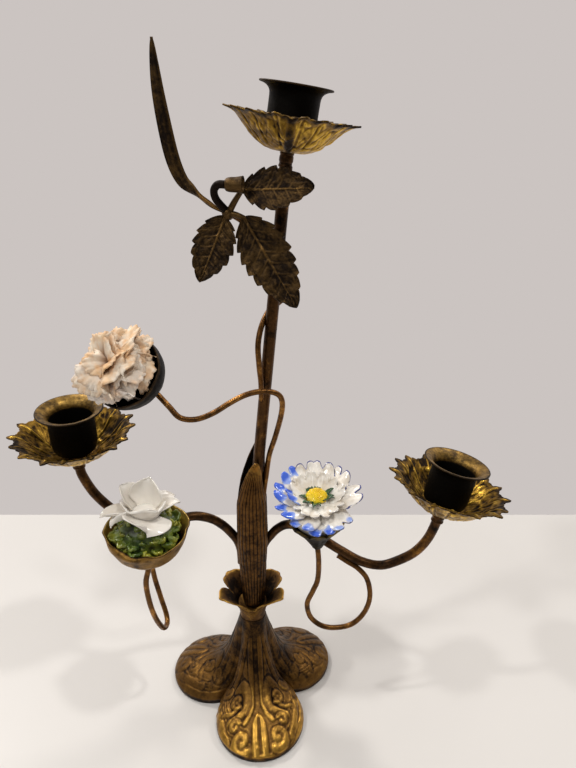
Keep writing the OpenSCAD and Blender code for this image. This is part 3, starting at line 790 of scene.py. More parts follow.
def lobe_relief(s, t, inset, off):
    """Height of the cast ornament at s along a lobe and t across it, inset from its edge."""
    side = np.abs(t)
    h = np.full(s.shape, 0.25)
    # Broad flutes that follow the rim, parted by fine grooves
    rim_part = np.clip(smooth_step(side, 5, 11) + smooth_step(-s, -46, -38) * 0.4, 0, 1)
    rim_part = rim_part * smooth_step(s, 12, 20)
    h += bead(np.abs(inset - 2.0), 2.4, 0.55)
    h += bead(np.abs(inset - 7.6), 5.0, 0.45) * rim_part
    for at in (4.2, 6.4, 8.4, 10.6):
        h -= bead(np.abs(inset - at), 0.5, 0.42) * rim_part
    # Leaf fluting up the cone
    up = smooth_step(-s, -30, -16)
    vein = np.abs(np.sin(np.abs(off) * 8.6 + 0.10 * s + 0.5))
    h += up * (0.55 * vein ** 0.5 - 0.30)
    # Twin ridges beside the middle groove, parting round the spear
    twin = [(6, 2.6), (17, 2.9), (31, 3.2), (35, 5.0), (39, 8.4)]
    h = ridge(h, near(s, side, twin), 1.7, 1.2)
    h -= bead(near(s, side, [(4, 0), (33, 0)]), 1.5, 1.3)
    # Broad scrolled leaf beside the ridges
    band = [(21.5, 11.0), (20.8, 8.6), (22.4, 6.8), (25.5, 6.2), (29.5, 6.4), (33, 8.6), (35, 12.5), (36, 17)]
    h = ridge(h, near(s, side, band), 2.5, 1.3)
    h = ridge(h, near(s, side, spiral((26.4, 12.0), 0.6, 3.6, 30, -1.15)), 1.5, 1.25)
    # Big volute at the lobe's end, whose tail runs back along the rim
    tail = [(52.6, 10.2), (51.0, 14.8), (47.0, 18.6), (41.0, 21.2), (34.0, 22.6), (27.0, 23.4)]
    h = ridge(h, near(s, side, tail), 1.9, 1.1)
    h = ridge(h, near(s, side, spiral((47.2, 11.0), 0.9, 5.6, 10, -1.1)), 2.3, 1.55)
    # Hook between volute and band
    h = ridge(h, near(s, side, spiral((39.0, 14.4), 0.9, 3.0, -60, 0.85)), 1.5, 1.15)
    # Spear
    inside = near(s, side, [(36.5, 0), (40, 2.0), (46, 2.6), (55, 3.0)])
    h = np.maximum(h, bead(inside, 2.6, 1.3) * smooth_step(s, 33.5, 36))
    h -= bead(near(s, side, [(33.6, 0.2), (37, 2.9), (41, 4.9), (47, 5.2), (54, 5.6)]), 0.6, 0.9)
    h -= bead(near(s, side, [(38, 0), (54, 0)]), 0.9, 0.9)
    # Leaf tips and scrolls above
    for line, width, high in (
        ([(8, 5.0), (12, 8.0), (16, 11.5), (18.5, 15.5), (17, 18)], 2.0, 1.0),
        ([(9, 8.5), (13, 14), (17, 20), (22, 22.5)], 1.8, 0.8),
        (spiral((18.5, 16.6), 0.7, 3.2, 120, 1.1), 1.4, 1.0),
        ([(29, 11), (31, 14), (31.5, 17), (30, 20.5)], 1.5, 0.8),
    ):
        h = ridge(h, near(s, side, line), width, high)
    return h


def make_base():
    sides, rows = 504, 150
    a = np.arange(sides) * 2 * math.pi / sides
    u = np.linspace(0, 1, rows)[:, None] ** 1.12
    edge = lobe_edge(a)[None, :] - BASE_EDGE_GAP
    r = NECK_R + (edge - NECK_R) * u
    grid = np.stack([r * np.cos(a), r * np.sin(a), np.broadcast_to(base_height(u), r.shape)], -1)
    out = surface_normals(grid, True)
    out *= np.sign(out[rows // 2, 0, 2])
    off = (a + math.pi / 3) % (2 * math.pi / 3) - math.pi / 3
    off = np.broadcast_to(off, r.shape)
    s = r * np.cos(off)
    t = r * np.sin(off) + 0.045 * s
    h = lobe_relief(s, t, edge - r, off)
    h += (rough_grain(grid, 0.42, 3) - 0.5) * 0.4
    h *= smooth_step(r, 8.6, 12.5) * 0.86
    h = softened(h, 1)
    h *= 1 - smooth_step(u, 0.985, 1.0)
    # The two far lobes are cast shallower
    middle = smooth_step(np.cos(a), 0.2, 0.7)[None, :]
    h *= 0.45 + 0.55 * middle
    proud = 0.44 + (h - softened(h, 10)) * 0.75 + (h - 0.6) * 0.10
    # The rims are brightest from rubbing, and the middle lobe, which faces the viewer, gets painted light on
    # top of that; the cone and side lobes stay brown
    rubbed_and_lit = smooth_step(r, 20, 36) * (0.35 + 0.65 * middle)
    proud = np.clip(proud - 0.08 + 0.26 * rubbed_and_lit + 0.10 * rubbed_and_lit * smooth_step(-(edge - r), -12, -3), 0, 1)
    outer = grid + out * h[..., None]
    rim = []
    for inward, z in ((-0.0, 1.6), (0.25, 0.35), (0.8, 0.0), (BASE_WALL - 0.5, 0.0)):
        q = lobe_edge(a) - inward - BASE_EDGE_GAP
        rim.append(np.stack([q * np.cos(a), q * np.sin(a), np.full(sides, z)], -1))
    under = []
    for share in (1.0, 0.93, 0.84, 0.72, 0.58, 0.45, 0.34, 0.25, 0.18, 0.12, 0.07):
        q = NECK_R + (lobe_edge(a) - NECK_R) * share
        slope = (base_height(min(1, share + 0.01)) - base_height(share - 0.01))
        run = (lobe_edge(a) - NECK_R) * (min(1, share + 0.01) - share + 0.01)
        size = np.hypot(slope, run)
        q = np.maximum(q + slope / size * BASE_WALL, STEM_R + 1)
        z = np.minimum(base_height(share) - run / size * BASE_WALL, NECK_Z - BOSS_H)
        under.append(np.stack([q * np.cos(a), q * np.sin(a), np.maximum(z, 0.4)], -1))
    for q, z in ((STEM_R + 0.1, NECK_Z - BOSS_H), (STEM_R + 0.1, NECK_Z)):
        under.append(np.stack([q * np.cos(a), q * np.sin(a), np.full(sides, z)], -1))
    rest = np.array(rim + under)
    marks = np.concatenate([proud, np.full(rest.shape[:2], 0.22)])
    skin = ring_loop(np.concatenate([outer, rest]), marks)
    turn = turn_matrix(0, 0, math.degrees(BASE_TURN))
    piece("base_casting", placed(skin, turn, (0, 0, 0)), "root", BASE_BRASS, ["base_foot"])


# ---- collar, stem and sheath ----

def make_collar():
    """Calyx of four curling petals, two to each side, veined along their length."""
    sides, rows = 288, 34
    a = np.linspace(-math.pi, math.pi, sides, endpoint=False)
    fold = np.abs((np.degrees(a) + 90) % 180 - 90)  # 0 at the sides' notches, 90 at the front and back
    lean = fold - 31
    share = np.where(lean < 0, -lean / 31, lean / 46)
    share = np.clip(share, 0, 1)
    square = (1 - share ** 3.2) ** 0.6
    sloping = np.where((lean > 0) & (np.sin(a) < 0), (1 - share ** 1.5) ** 0.9, square)
    low = np.where((lean > 0) & (np.sin(a) < 0), 0.34, 0.45)
    reach = low + (0.96 - low) * sloping + 0.04 * np.exp(-(share / 0.16) ** 2)
    reach = reach * (1 - 0.10 * smooth_step(np.sin(a), 0.0, 0.5))
    profile = np.array([[8.0, 0], [8.4, 4], [9.0, 7], [11, 12], [14.5, 17.5], [18, 21.3], [20.6, 22.9],
                        [22.4, 23.4]])
    gaps = np.r_[0, np.cumsum(np.hypot(*np.diff(profile, axis=0).T))]
    q = np.linspace(0, 1, rows)[:, None] * reach[None, :] * gaps[-1]
    r = np.interp(q, gaps, profile[:, 0])
    z = np.interp(q, gaps, profile[:, 1])
    # Petal edges lift, tips droop a little
    z = z + 0.3 * (share[None, :] ** 2) * smooth_step(q, 12, 22)
    front_side = smooth_step(-np.sin(a), 0.05, 0.6)[None, :]
    z = z - 2.8 * front_side * smooth_step(q, 12, 26)
    grid = np.stack([r * np.cos(a), r * np.sin(a), z], -1)
    out = surface_normals(grid, True)
    out *= np.sign(np.sum(out[3, 0] * [np.cos(a[0]), np.sin(a[0]), 0]))
    along_q = np.linspace(0, 1, rows)[:, None]
    vein = bead(np.abs(lean)[None, :] * r / 60, 0.7, 0.5)
    side_veins = 0.28 * np.abs(np.sin(np.abs(lean)[None, :] * 0.22 + along_q * 7)) ** 0.7
    h = (vein + side_veins) * smooth_step(q, 5, 12) * (1 - smooth_step(along_q, 0.9, 1.0) * 0.6)
    h = h + (rough_grain(grid, 0.5, 8) - 0.5) * 0.25
    front = grid + out * (h - 0.2)[..., None]
    back = grid - out * 0.95
    back[:3, :, 2] = np.maximum(back[:3, :, 2], 0.05)
    marks = np.clip(0.42 + (h - softened(h, 6)) * 1.3 + along_q ** 4 * 0.3, 0, 1)
    inner = np.clip(0.12 + along_q ** 6 * 0.55, 0, 1) * np.ones_like(h)
    skin = sheet(front, back, True, marks, inner)
    piece("collar_petals", placed(skin, np.eye(3), (0, 0, NECK_Z)), "root", COLLAR_BRASS, ["collar"])
    # Floor of the cup, a thin dished washer round the stem
    bore = STEM_R + 0.12
    floor = rounded([(bore, 7.6), (7.2, 7.4), (8.9, 9.4), (8.6, 10.0), (6.4, 9.2), (bore, 9.0)])
    piece("collar_floor", placed(ring_loop(turned(floor, 72)), np.eye(3), (0, 0, NECK_Z)), "root",
          COLLAR_BRASS)


def stem_at(z):
    """Point of the stem's axis at a height above the neck."""
    k = max(0.0, z - 53.0) / LEAN_DIR[2]
    return BEND + LEAN_DIR * k if z > 53 else np.array([0, 0, NECK_Z + z])


def sheath_centre(z):
    s = stem_at(z)
    x = min(1.1 + 0.0036 * max(0.0, z - 79) ** 2, max(1.1, s[0]))
    return np.array([x, s[1], z + NECK_Z])


SHEATH_R = ([9, 23, 38, 57, 82, 97, 110, 123], [7.0, 7.9, 8.7, 9.9, 9.3, 7.6, 6.2, 4.9])


def make_sheath(name, facing, top, seed):
    """Clasping leaf with long fine ribs that run together at its tip."""
    rows, cols = 150, 110
    low = 9.0
    z = low + (top - low) * np.linspace(0, 1, rows) ** 0.97
    half = np.radians(66) * np.minimum(1, np.sqrt(np.maximum(0.0006, (top - z) / 26)))
    centre = np.array([sheath_centre(k) for k in z])
    radius = np.interp(z, *SHEATH_R)
    across = np.linspace(-1, 1, cols)
    angle = math.radians(facing) + half[:, None] * across
    out = np.stack([np.cos(angle), np.sin(angle), np.zeros_like(angle)], -1)
    ribs = np.abs(np.cos(math.pi * 5.0 * across))[None, :] ** 0.55
    fade = smooth_step(-np.abs(across), -1.0, -0.93)[None, :] * 0.5 + 0.5
    wave = 0.3 * np.sin(z * 0.11 + seed)[:, None] * across[None, :]
    h = 0.62 * ribs * fade * smooth_step(z, 9, 16)[:, None] + wave * 0.2
    grid = centre[:, None, :] + out * radius[:, None, None]
    h = h + (rough_grain(grid, 0.35, seed) - 0.5) * 0.3
    # A tip that curls away from the stem
    curl = smooth_step(z, top - 9, top)[:, None] * 0.7
    front = grid + out * (h - 0.35 + curl)[..., None]
    back = grid + out * (curl - 0.95)[..., None]
    marks = np.clip(0.32 + (h - softened(h, 5, False)) * 2.4 + smooth_step(z, top - 16, top)[:, None] * 0.4
                    + 0.10 * (z[:, None] - 40) / 60, 0, 1)
    skin = sheet(front, back, False, marks, np.full_like(marks, 0.15))
    piece(name, skin, "root", SHEATH_BRASS, [name.replace("_leaf", "")])


def make_stem():
    foot = NECK_Z - BOSS_H - 1.2 - 4.5 - 3.0
    route = [np.array([0, 0, foot]), np.array([0, 0, foot + 12]), np.array([0, 0, NECK_Z]),
             np.array([0, 0, NECK_Z + 20]), np.array([0, 0, NECK_Z + 40]), BEND + [0.15, 0.05, -1.0]]
    for k in (8, 20, 45, 75, 105, 135, 165, 190, 205, 218.6 - FERRULE_H + 0.4):
        route.append(BEND + LEAN_DIR * k)
    rod("stem_rod", route, STEM_R, "root", ROD_BRASS, ["stem"], steps=8, sides=28)


# ---- arms and flower wires ----

def above_neck(route):
    return [np.array(p, float) + [0, 0, NECK_Z] for p in route]


def arm_end(which):
    turn, seat = holder_place(which)
    return seat - turn[:, 2] * (FERRULE_H - 0.5)


def make_arms():
    root = STEM_R + ARM_R
    left = above_neck([
        (-root, 0, 39), (-root - 0.3, 0, 48), (-8, 0, 55), (-11.5, -0.5, 61), (-16, -2, 67.5),
        (-22, -5, 74), (-30, -8, 78), (-38, -10, 77.5), (-47, -12, 74), (-57, -13, 73.5),
        (-68, -13, 79), (-77, -13, 88), (-84, -13, 97), (-88.8, -12.5, 107)])
    right = above_neck([
        (root, 0, 39), (root + 0.4, 0, 47), (8.4, 0, 53.5), (12, 0, 59), (16, -2, 65), (21, -5, 70),
        (27, -8, 71.5), (35, -11, 69.5), (43, -14, 65.5), (52, -17, 61), (63, -20, 56),
        (74, -21.5, 54.5), (84, -22.5, 59), (92, -24, 66), (98, -25, 76)])
    for side, route in (("left", left), ("right", right)):
        rod("arm_rod_" + side, route + [arm_end(side)], ARM_R, "root", ROD_BRASS, ["arm_" + side],
            sides=24, hammering=0.2)


def turned_up(turn):
    x, y = math.radians(turn[0]), math.radians(turn[1])
    return np.array([math.cos(x) * math.sin(y), -math.sin(x), math.cos(x) * math.cos(y)])


CARNATION_SEAT = np.array([-55.9, -23.9, 233.5])
CARNATION_TURN = (45.0, -28.0)
# Shift of the bloom's petals from their seat in the bowl
BLOOM_SHIFT = [-2.4, 0, 1.6]
BOWL_R = 18.5
MAGNOLIA_SEAT = np.array([-50.5, -38.0, 133.0])
DAISY_SEAT = np.array([38.0, -25.0, 131.0])
DAISY_TURN = (6.0, -2.0)


def make_wires():
    root = STEM_R + WIRE_R
    carnation = [stem_at(78) + [root, 0, 0], stem_at(89) + [root, 0, 0], stem_at(98) + [root + 0.4, 0.4, 0]]
    carnation += above_neck([
        (11.6, 2, 112), (15.2, 0, 125), (18.6, -4, 141), (18.6, -6, 150), (14.8, -8, 154.5),
        (7.5, -9, 155.5), (0, -10, 154), (-7.9, -11.9, 150.4), (-16.6, -14.6, 145.8),
        (-25.2, -16.9, 143.5), (-32.7, -18.9, 145.5), (-38.1, -17, 150.7), (-43.5, -14.5, 155.8)])
    carnation.append(CARNATION_SEAT - turned_up(CARNATION_TURN) * (BOWL_R - 0.4))
    rod("carnation_rod", carnation, WIRE_R, "root", WIRE_BRASS, ["carnation_wire"])
    magnolia = above_neck([
        (-50.5, -38, 72), (-52, -38, 65), (-54, -38, 56), (-53.5, -37, 42), (-52, -34, 28),
        (-50, -28, 15), (-49, -22, 12), (-50, -17.5, 15), (-53, -14.5, 25), (-56, -13, 40),
        (-57, -13, 56), (-57, -13, 72)])
    rod("magnolia_rod", magnolia, WIRE_R, "root", WIRE_BRASS, ["magnolia_wire"])
    daisy = above_neck([
        (38, -25, 71), (39, -25, 59), (38.6, -24, 46), (36, -24, 38), (33, -24, 29), (35, -23, 18.5),
        (41, -23, 12), (49, -23, 10), (59, -22, 11.5), (66, -22, 20), (69, -22, 32), (67, -21, 44),
        (61.5, -20.5, 51.5), (56, -19.5, 55), (50, -17.5, 58.2)])
    rod("daisy_rod", daisy, WIRE_R, "root", WIRE_BRASS, ["daisy_wire"])


# ---- candle holders ----

def pan_tips():
    """Angles and lengths of a pan's sixteen pointed tips, in leafy groups."""
    spread = [0, 2.6, -2.2, 1.6, -2.8, 1.4, 2.4, -1.6, -0.6, 2.8, -2.4, 0.8, 2.2, -2.6, 1.8, -1.2]
    lengths = [1, 0.72, 0.86, 0.95, 0.66, 0.9, 1, 0.7, 0.82, 1, 0.64, 0.88, 0.96, 0.74, 0.8, 0.92]
    return [(22.5 * k + s, q) for k, (s, q) in enumerate(zip(spread, lengths))]


def pan_skin(seed, gold_side, rib_at=None):
    """Stamped dish of leaf foliage with rounded finger-like points round its rim."""
    sides, rows = 480, 58
    a = np.linspace(0, 360, sides, endpoint=False)
    rim = np.full(sides, 27.9)
    vein_gap = np.full(sides, 99.0)
    for at, length in pan_tips():
        off = np.abs((a - at + 180) % 360 - 180)
        rim += 1.3 * np.clip(1 - (off / 10.5) ** 2, 0, 1)
        rim += 3.7 * length * np.sqrt(np.clip(1 - (off / 4.4) ** 1.7, 0, 1)) * (1 - 0.35 * off / 4.4)
        vein_gap = np.minimum(vein_gap, off)
    rim += 0.7 * np.abs(np.sin(np.radians(a) * 24 + seed)) * smooth_step(vein_gap, 4, 6)
    rim = np.minimum(rim, 32.9)
    q = np.linspace(0, 1, rows)[:, None]
    r = 3.5 + (rim[None, :] - 3.5) * q
    z = np.interp(r, [0, 7, 11, 15, 19, 22.5, 25.5, 28, 30, 33],
                  [0, 0, 1.4, 3.5, 6.5, 9.9, 12.9, 14.6, 15.2, 15.5])
    t = np.radians(a)[None, :]
    grid = np.stack([r * np.cos(t), r * np.sin(t), z], -1)
    out = surface_normals(grid, True)
    out *= np.sign(out[2, 0, 2])
    gap = vein_gap[None, :] * np.pi / 180 * r
    veins = bead(gap, 0.75, 0.75) * smooth_step(r, 11, 15)
    side_gap = np.abs(np.sin((r - gap * 1.3) * 0.72 + seed))
    leafy = bead(side_gap, 0.32, 0.32) * smooth_step(gap, 0.6, 1.8) * smooth_step(r, 12, 16)
    flat = np.stack([r * np.cos(t), r * np.sin(t), np.full_like(r, seed * 3.0)], -1)
    warp = np.stack([rough_grain(flat, 0.13, seed), rough_grain(flat, 0.13, seed + 9),
                     np.zeros_like(r)], -1) * 9
    curls = 1 - np.abs(2 * rough_grain(flat + warp, 0.2, seed + 3) - 1) * 3.2
    curls = np.clip(curls, -0.6, 1)
    lumps = rough_grain(flat, 0.3, seed + 6) - 0.5
    h = np.maximum(veins, leafy) + curls * 0.62 + lumps * 0.7
    h *= smooth_step(r, 8.2, 12) * (1 - 0.8 * smooth_step(q, 0.84, 0.98))
    h = softened(h, 1)
    lip = bead(1 - q, 0.035, 0.3) * np.ones_like(r)
    shape = h * 0.62 - 0.42 + lip * 0.5
    front = grid + out * (shape + 0.75)[..., None]
    below = shape
    if rib_at is not None:
        away = np.abs((a - rib_at + 180) % 360 - 180)[None, :] * np.pi / 180 * r
        below = below - bead(away, 1.9, 0.75) * smooth_step(r, 6, 9)
    back = grid + out * below[..., None]
    front[..., 2] = np.where(r < 8.2, 0.8, front[..., 2])
    back[..., 2] = np.where(r < 7.2, 0.0, np.maximum(back[..., 2], 0.02))
    keep_in = np.minimum(1, 32.9 / np.maximum(np.hypot(front[..., 0], front[..., 1]), 1))
    front[..., :2] *= keep_in[..., None]
    proud = h - softened(h, 8)
    tarnish = rough_grain(flat, 0.075, seed + 2)
    side = 0.5 + 0.5 * np.cos(np.radians(a - gold_side))[None, :]
    top = np.clip(0.30 + proud * 0.95 + 0.2 * h + 0.42 * (tarnish - 0.4), 0, 1)
    top = top * (1 - 0.35 * smooth_step(q, 0.9, 1.0))
    low = np.clip(0.30 - proud * 1.15 + 0.34 * side + 0.3 * (tarnish - 0.5), 0, 1)
    low = low * (1 - 0.75 * smooth_step(q, 0.87, 0.97))
    if rib_at is not None:
        low = low * (1 - 0.8 * bead(away, 2.1, 1.0))
    return sheet(front, back, True, top, low)


def nozzle_skin(seed):
    """Spun nozzle: tapered foot, straight cup, flaring lip with a rolled edge."""
    r, c = 11.8, 11.0
    profile = [(3.05, 0), (9.6, 0), (10.3, 0.4), (11.0, 1.2), (11.5, 3.4), (r, 6), (r, 10), (r, 14.5),
               (r, 19.2), (12.3, 20.8), (13.3, 21.9), (14.8, 22.7), (16.4, 23.05), (17.1, 23.2), (17.2, 23.6),
               (17.0, 24.0), (16.2, 23.95), (14.6, 23.4), (13.1, 22.6), (12.1, 21.5), (11.4, 20.4),
               (c, 18.8), (c, 14), (c, 9), (c, 6.2), (10.4, 3.6), (9.6, 1.6), (3.05, 1.5)]
    fine = rounded(profile, 2)
    fine[:, 1] = np.clip(fine[:, 1], 0.0, 24.0)
    grid = turned(fine, 120, 0.09, seed)
    inside = (fine[:, 1] > 18.5) & (fine[:, 0] < 17.1) & (np.arange(len(fine)) > len(fine) * 0.52)
    # The outside is marked low, so it takes the nozzle finish's near-black colour: partly dark patina, partly
    # painted shade on the nozzles' fronts
    marks = np.where(inside, 0.86, 0.16)
    marks = np.where((fine[:, 0] > 16.6), 0.55, marks)
    marks = np.where((np.arange(len(fine)) > len(fine) * 0.52) & (fine[:, 1] <= 18.5), 0.10, marks)
    return ring_loop(grid, np.repeat(marks[:, None], 120, 1))


PAN_LOOKS = {"top": (-48.0, 262.0), "left": (-60.0,), "right": (200.0,)}


def make_holders():
    for number, which in enumerate(("top", "left", "right")):
        turn, seat = holder_place(which)
        spin = turn_matrix(0, 0, 47 * number + 8)
        pan = placed(pan_skin(number + 1, *PAN_LOOKS[which]), spin, (0, 0, 0))
        piece("pan_dish_" + which, placed(pan, turn, seat), "pan_" + which, PAN_BRASS, ["pan_" + which])
        piece("nozzle_cup_" + which,
              placed(placed(nozzle_skin(number), np.eye(3), (0, 0, 4.6)), turn, seat),
              "nozzle_" + which, NOZZLE_BRASS, ["nozzle_" + which])
        bobbin = rounded([(3.35, 0), (5.3, 0), (5.5, 0.5), (4.9, 1.2), (4.7, 1.7), (4.9, 2.2), (5.5, 2.9),
                          (5.3, 3.4), (3.35, 3.4)])
        bobbin[:, 1] = np.clip(bobbin[:, 1], 0, 3.4)
        piece("spacer_ring_" + which,
              placed(placed(ring_loop(turned(bobbin, 64)), np.eye(3), (0, 0, 1.0)), turn, seat),
              "spacer_" + which, PLAIN_BRASS, ["spacer_" + which])
        head = [(0.3, 7.72), (1.4, 7.7), (3.0, 7.68), (3.9, 7.5), (4.6, 6.9), (5.0, 6.15), (3.0, 6.05),
                (3.0, 0.5), (3.0, -4.2), (2.5, -4.5), (0.3, -4.5)]
        piece("screw_head_" + which, placed(capped(turned(head, 40)), turn, seat), "nozzle_" + which,
              PLAIN_BRASS, ["screw_" + which])
        ring = rounded([(3.1, -7), (3.3, -7), (3.4, -6.2), (3.05, -5.6), (3.05, -4.9), (3.4, -4.4),
                        (3.4, -2.2), (3.1, -1.6), (3.4, -1.0), (3.4, -0.2), (3.1, -0.2)], 2)
        ring[:, 1] = np.clip(ring[:, 1], -7, -0.2)
        piece("ferrule_ring_" + which, placed(ring_loop(turned(ring, 56)), turn, seat), "root",
              ROD_BRASS, ["ferrule_" + which])


# ---- carnation ----

def petal_fan(rng, length, spread, ruffle, teeth):
    """One frilled fan petal that rises along +Z and opens towards +X, with its reach marked."""
    rows, cols = 18, 40
    v = np.linspace(0.0, 1, rows)[:, None]
    w = np.linspace(-1, 1, cols)[None, :]
    phase = rng.uniform(0, 6.28, 3)
    folds = np.arcsin(np.sin(w * 4.6 + phase[0])) / 1.4 + 0.35 * np.arcsin(np.sin(w * 11.5 + phase[1])) / 1.2
    frill = folds * ruffle * v ** 1.7
    saw = np.abs((w * teeth + phase[2]) % 1 - 0.5) * 2
    lobes = 0.12 * np.sin(w * 4.1 + phase[1]) + 0.08 * saw - 0.05
    radial = length * v * (1 + lobes * smooth_step(v, 0.72, 1))
    angle = np.radians(spread) * w * (0.3 + 0.7 * v)
    y = np.sin(angle) * radial
    z = np.cos(angle) * radial
    curl = length * 0.30 * v ** 2.8
    x = curl + frill - 1.6 * (1 - w ** 2) * np.sin(np.pi * v)
    z = z - curl * 0.5
    grid = np.stack([x, y, z], -1)
    out = surface_normals(grid)
    thick = 0.26
    fold = frill / max(ruffle, 0.1) / 1.5
    marks = np.clip(0.85 * v ** 2.6 + 0.3 * fold, 0, 1) * np.ones_like(w)
    skin = sheet(grid + out * thick, grid - out * thick, False, marks)
    reach = np.concatenate([(v * np.ones_like(w)).reshape(-1)] * 2)
    return skin, reach


def facing(direction):
    """Rotation whose +Z runs along a direction."""
    z = unit(np.asarray(direction, float))
    side = np.array([0, 0, 1.0]) if abs(z[2]) < 0.9 else np.array([1.0, 0, 0])
    x = unit(np.cross(side, z))
    y = np.cross(z, x)
    return np.stack([x, y, z], 1)


def make_carnation():
    rng = np.random.default_rng(11)
    shapes = []
    for length, spread, ruffle, teeth in ((20, 52, 2.6, 5.5), (20, 42, 3.3, 4.5), (20, 60, 2.2, 6.5)):
        skin, reach = petal_fan(rng, length, spread, ruffle, teeth)
        shapes.append(shape_object("petal_shape", skin, {"reach": reach}))
    turn = turn_matrix(CARNATION_TURN[0], CARNATION_TURN[1], 0)
    spots = []
    heart = np.array([0, 0, 2.8])
    for ring_tilt, count, size in ((9, 3, 0.82), (28, 6, 0.92), (50, 8, 0.98), (70, 10, 0.98), (90, 10, 0.90),
                                   (110, 5, 0.66)):
        for k in range(count):
            spin = 2 * math.pi * (k + rng.uniform(-0.22, 0.22)) / count + ring_tilt
            tilt = math.radians(ring_tilt + rng.uniform(-11, 11))
            z = np.array([math.sin(tilt) * math.cos(spin), math.sin(tilt) * math.sin(spin), math.cos(tilt)])
            away = np.array([math.cos(spin), math.sin(spin), 0.0])
            if ring_tilt < 85:
                x = unit(away - z * np.dot(away, z))
            else:
                x = unit(np.array([0, 0, -1.0]) + z * z[2])
            y = np.cross(z, x)
            roll = rng.uniform(-0.5, 0.5)
            x, y = x * math.cos(roll) + y * math.sin(roll), y * math.cos(roll) - x * math.sin(roll)
            world = turn @ np.stack([x, y, z], 1)
            s = size * rng.uniform(0.80, 1.06)
            low = (turn @ z)[2]
            if ring_tilt > 60 and np.dot(turn @ z, [0.8, 0, -0.6]) > 0.66:
                continue
            # Petals that point up get a high mark and those that point down a low one, with a random spread:
            # painted light and shade
            tint_and_light = np.clip(0.5 + 0.55 * low + rng.uniform(-0.3, 0.3), 0, 1)
            place = turn @ (heart + z * 1.2) + CARNATION_SEAT + BLOOM_SHIFT
            spots.append((place, world, (s, s * rng.uniform(0.9, 1.1), s),
                          int(rng.integers(0, 3)), tint_and_light))
    copies("carnation_petals", shapes, spots, "root", CARNATION, ["carnation_bloom"])


def make_bowl():
    """Beaten hemispherical bowl with a thin rolled edge, open on one side."""
    sides, rows = 120, 40
    a = np.linspace(0, 2 * math.pi, sides, endpoint=False)[None, :]
    fall = np.linspace(math.radians(2), math.radians(93), rows)[:, None]
    r_out = 18.4 + 0 * a
    wave = 0.35 * np.sin(a * 7 + 1) * smooth_step(fall, 1.2, 1.6)
    def shell(radius):
        return np.stack([radius * np.sin(fall) * np.cos(a), radius * np.sin(fall) * np.sin(a),
                         -radius * np.cos(fall) * np.ones_like(a) + wave], -1)
    front, back = shell(r_out), shell(r_out - 0.9)
    dents = (rough_grain(front, 0.22, 4) - 0.5) * 0.35
    out = unit(front)
    front = front + out * dents[..., None]
    back = back + out * dents[..., None]
    marks = np.clip(0.30 + dents * 1.2 + 0.4 * smooth_step(fall, 1.5, 1.6), 0, 1) * np.ones_like(a)
    # The inside is marked low, so it takes the bowl finish's near-black colour as painted shade; only its
    # edge is lighter
    inner = np.zeros_like(marks) + 0.5 * smooth_step(fall, 1.5, 1.6) * np.ones_like(a)
    skin = sheet(front, back, True, marks, inner)
    turn = turn_matrix(CARNATION_TURN[0], CARNATION_TURN[1], 0)
    piece("carnation_cup", placed(skin, turn, CARNATION_SEAT), "root", BOWL_BRASS, ["carnation_bowl"])


# ---- magnolia ----

def cupped_petal(length, width, cup, curl, blunt, rows=26, cols=23, thick=0.6, wave=0.0, flare=0.0,
                 twist=0.0):
    """Thick petal that rises along +Z from the origin and opens towards +X; blunt 0 ends in a point."""
    v = np.linspace(0, 1, rows)[:, None]
    w = np.linspace(-1, 1, cols)[None, :]
    end = (1 - v ** (2.4 + 4.6 * blunt)) ** (0.95 - 0.45 * blunt)
    outline = np.maximum((0.45 + 0.55 * smooth_step(v, 0, 0.55)) * end, 0.03)
    bend = curl * v
    if curl > 0.01:
        z, x = length * np.sin(bend) / curl, length * (1 - np.cos(bend)) / curl
    else:
        z, x = length * v, 0 * v
    wrap = cup * w ** 2 * outline
    x = x * np.ones_like(w) - wrap * np.cos(bend)
    z = z * np.ones_like(w) + wrap * np.sin(bend)
    y = w * outline * width / 2 * (1 - 0.12 * cup * w ** 2 / max(width, 1))
    x = x + flare * v ** 3 + wave * np.sin(w * 2.9 + 0.6) * v ** 1.5 + twist * w * v ** 1.4
    # The rim rolls over a little, as wet clay does
    rim = smooth_step(v, 0.86, 1.0)
    x = x + rim * 0.7
    grid = np.stack([x, y, z], -1)
    out = surface_normals(grid)
    body = thick * (0.62 + 0.38 * np.cos(w * 1.3)) * (1 - 0.35 * v)
    marks = np.clip(0.16 + 1.0 * v + 0.2 * np.abs(w), 0, 1) * np.ones_like(w)
    skin = sheet(grid + out * body[..., None], grid - out * body[..., None], False, marks)
    return skin, v, w


def petal_place(spin, tilt, seat, base_r=0.0, roll=0.0):
    """Rotation and place of a petal set at a bearing and tilted out from upright, in degrees."""
    a, b = math.radians(spin), math.radians(tilt)
    z = np.array([math.sin(b) * math.cos(a), math.sin(b) * math.sin(a), math.cos(b)])
    away = np.array([math.cos(a), math.sin(a), 0.0])
    x = unit(away - z * np.dot(away, z)) if tilt < 88 else unit(np.array([0, 0, -1.0]) + z * z[2])
    y = np.cross(z, x)
    c, s = math.cos(math.radians(roll)), math.sin(math.radians(roll))
    turn = np.stack([x * c + y * s, y * c - x * s, z], 1)
    return turn, np.asarray(seat, float) + away * base_r


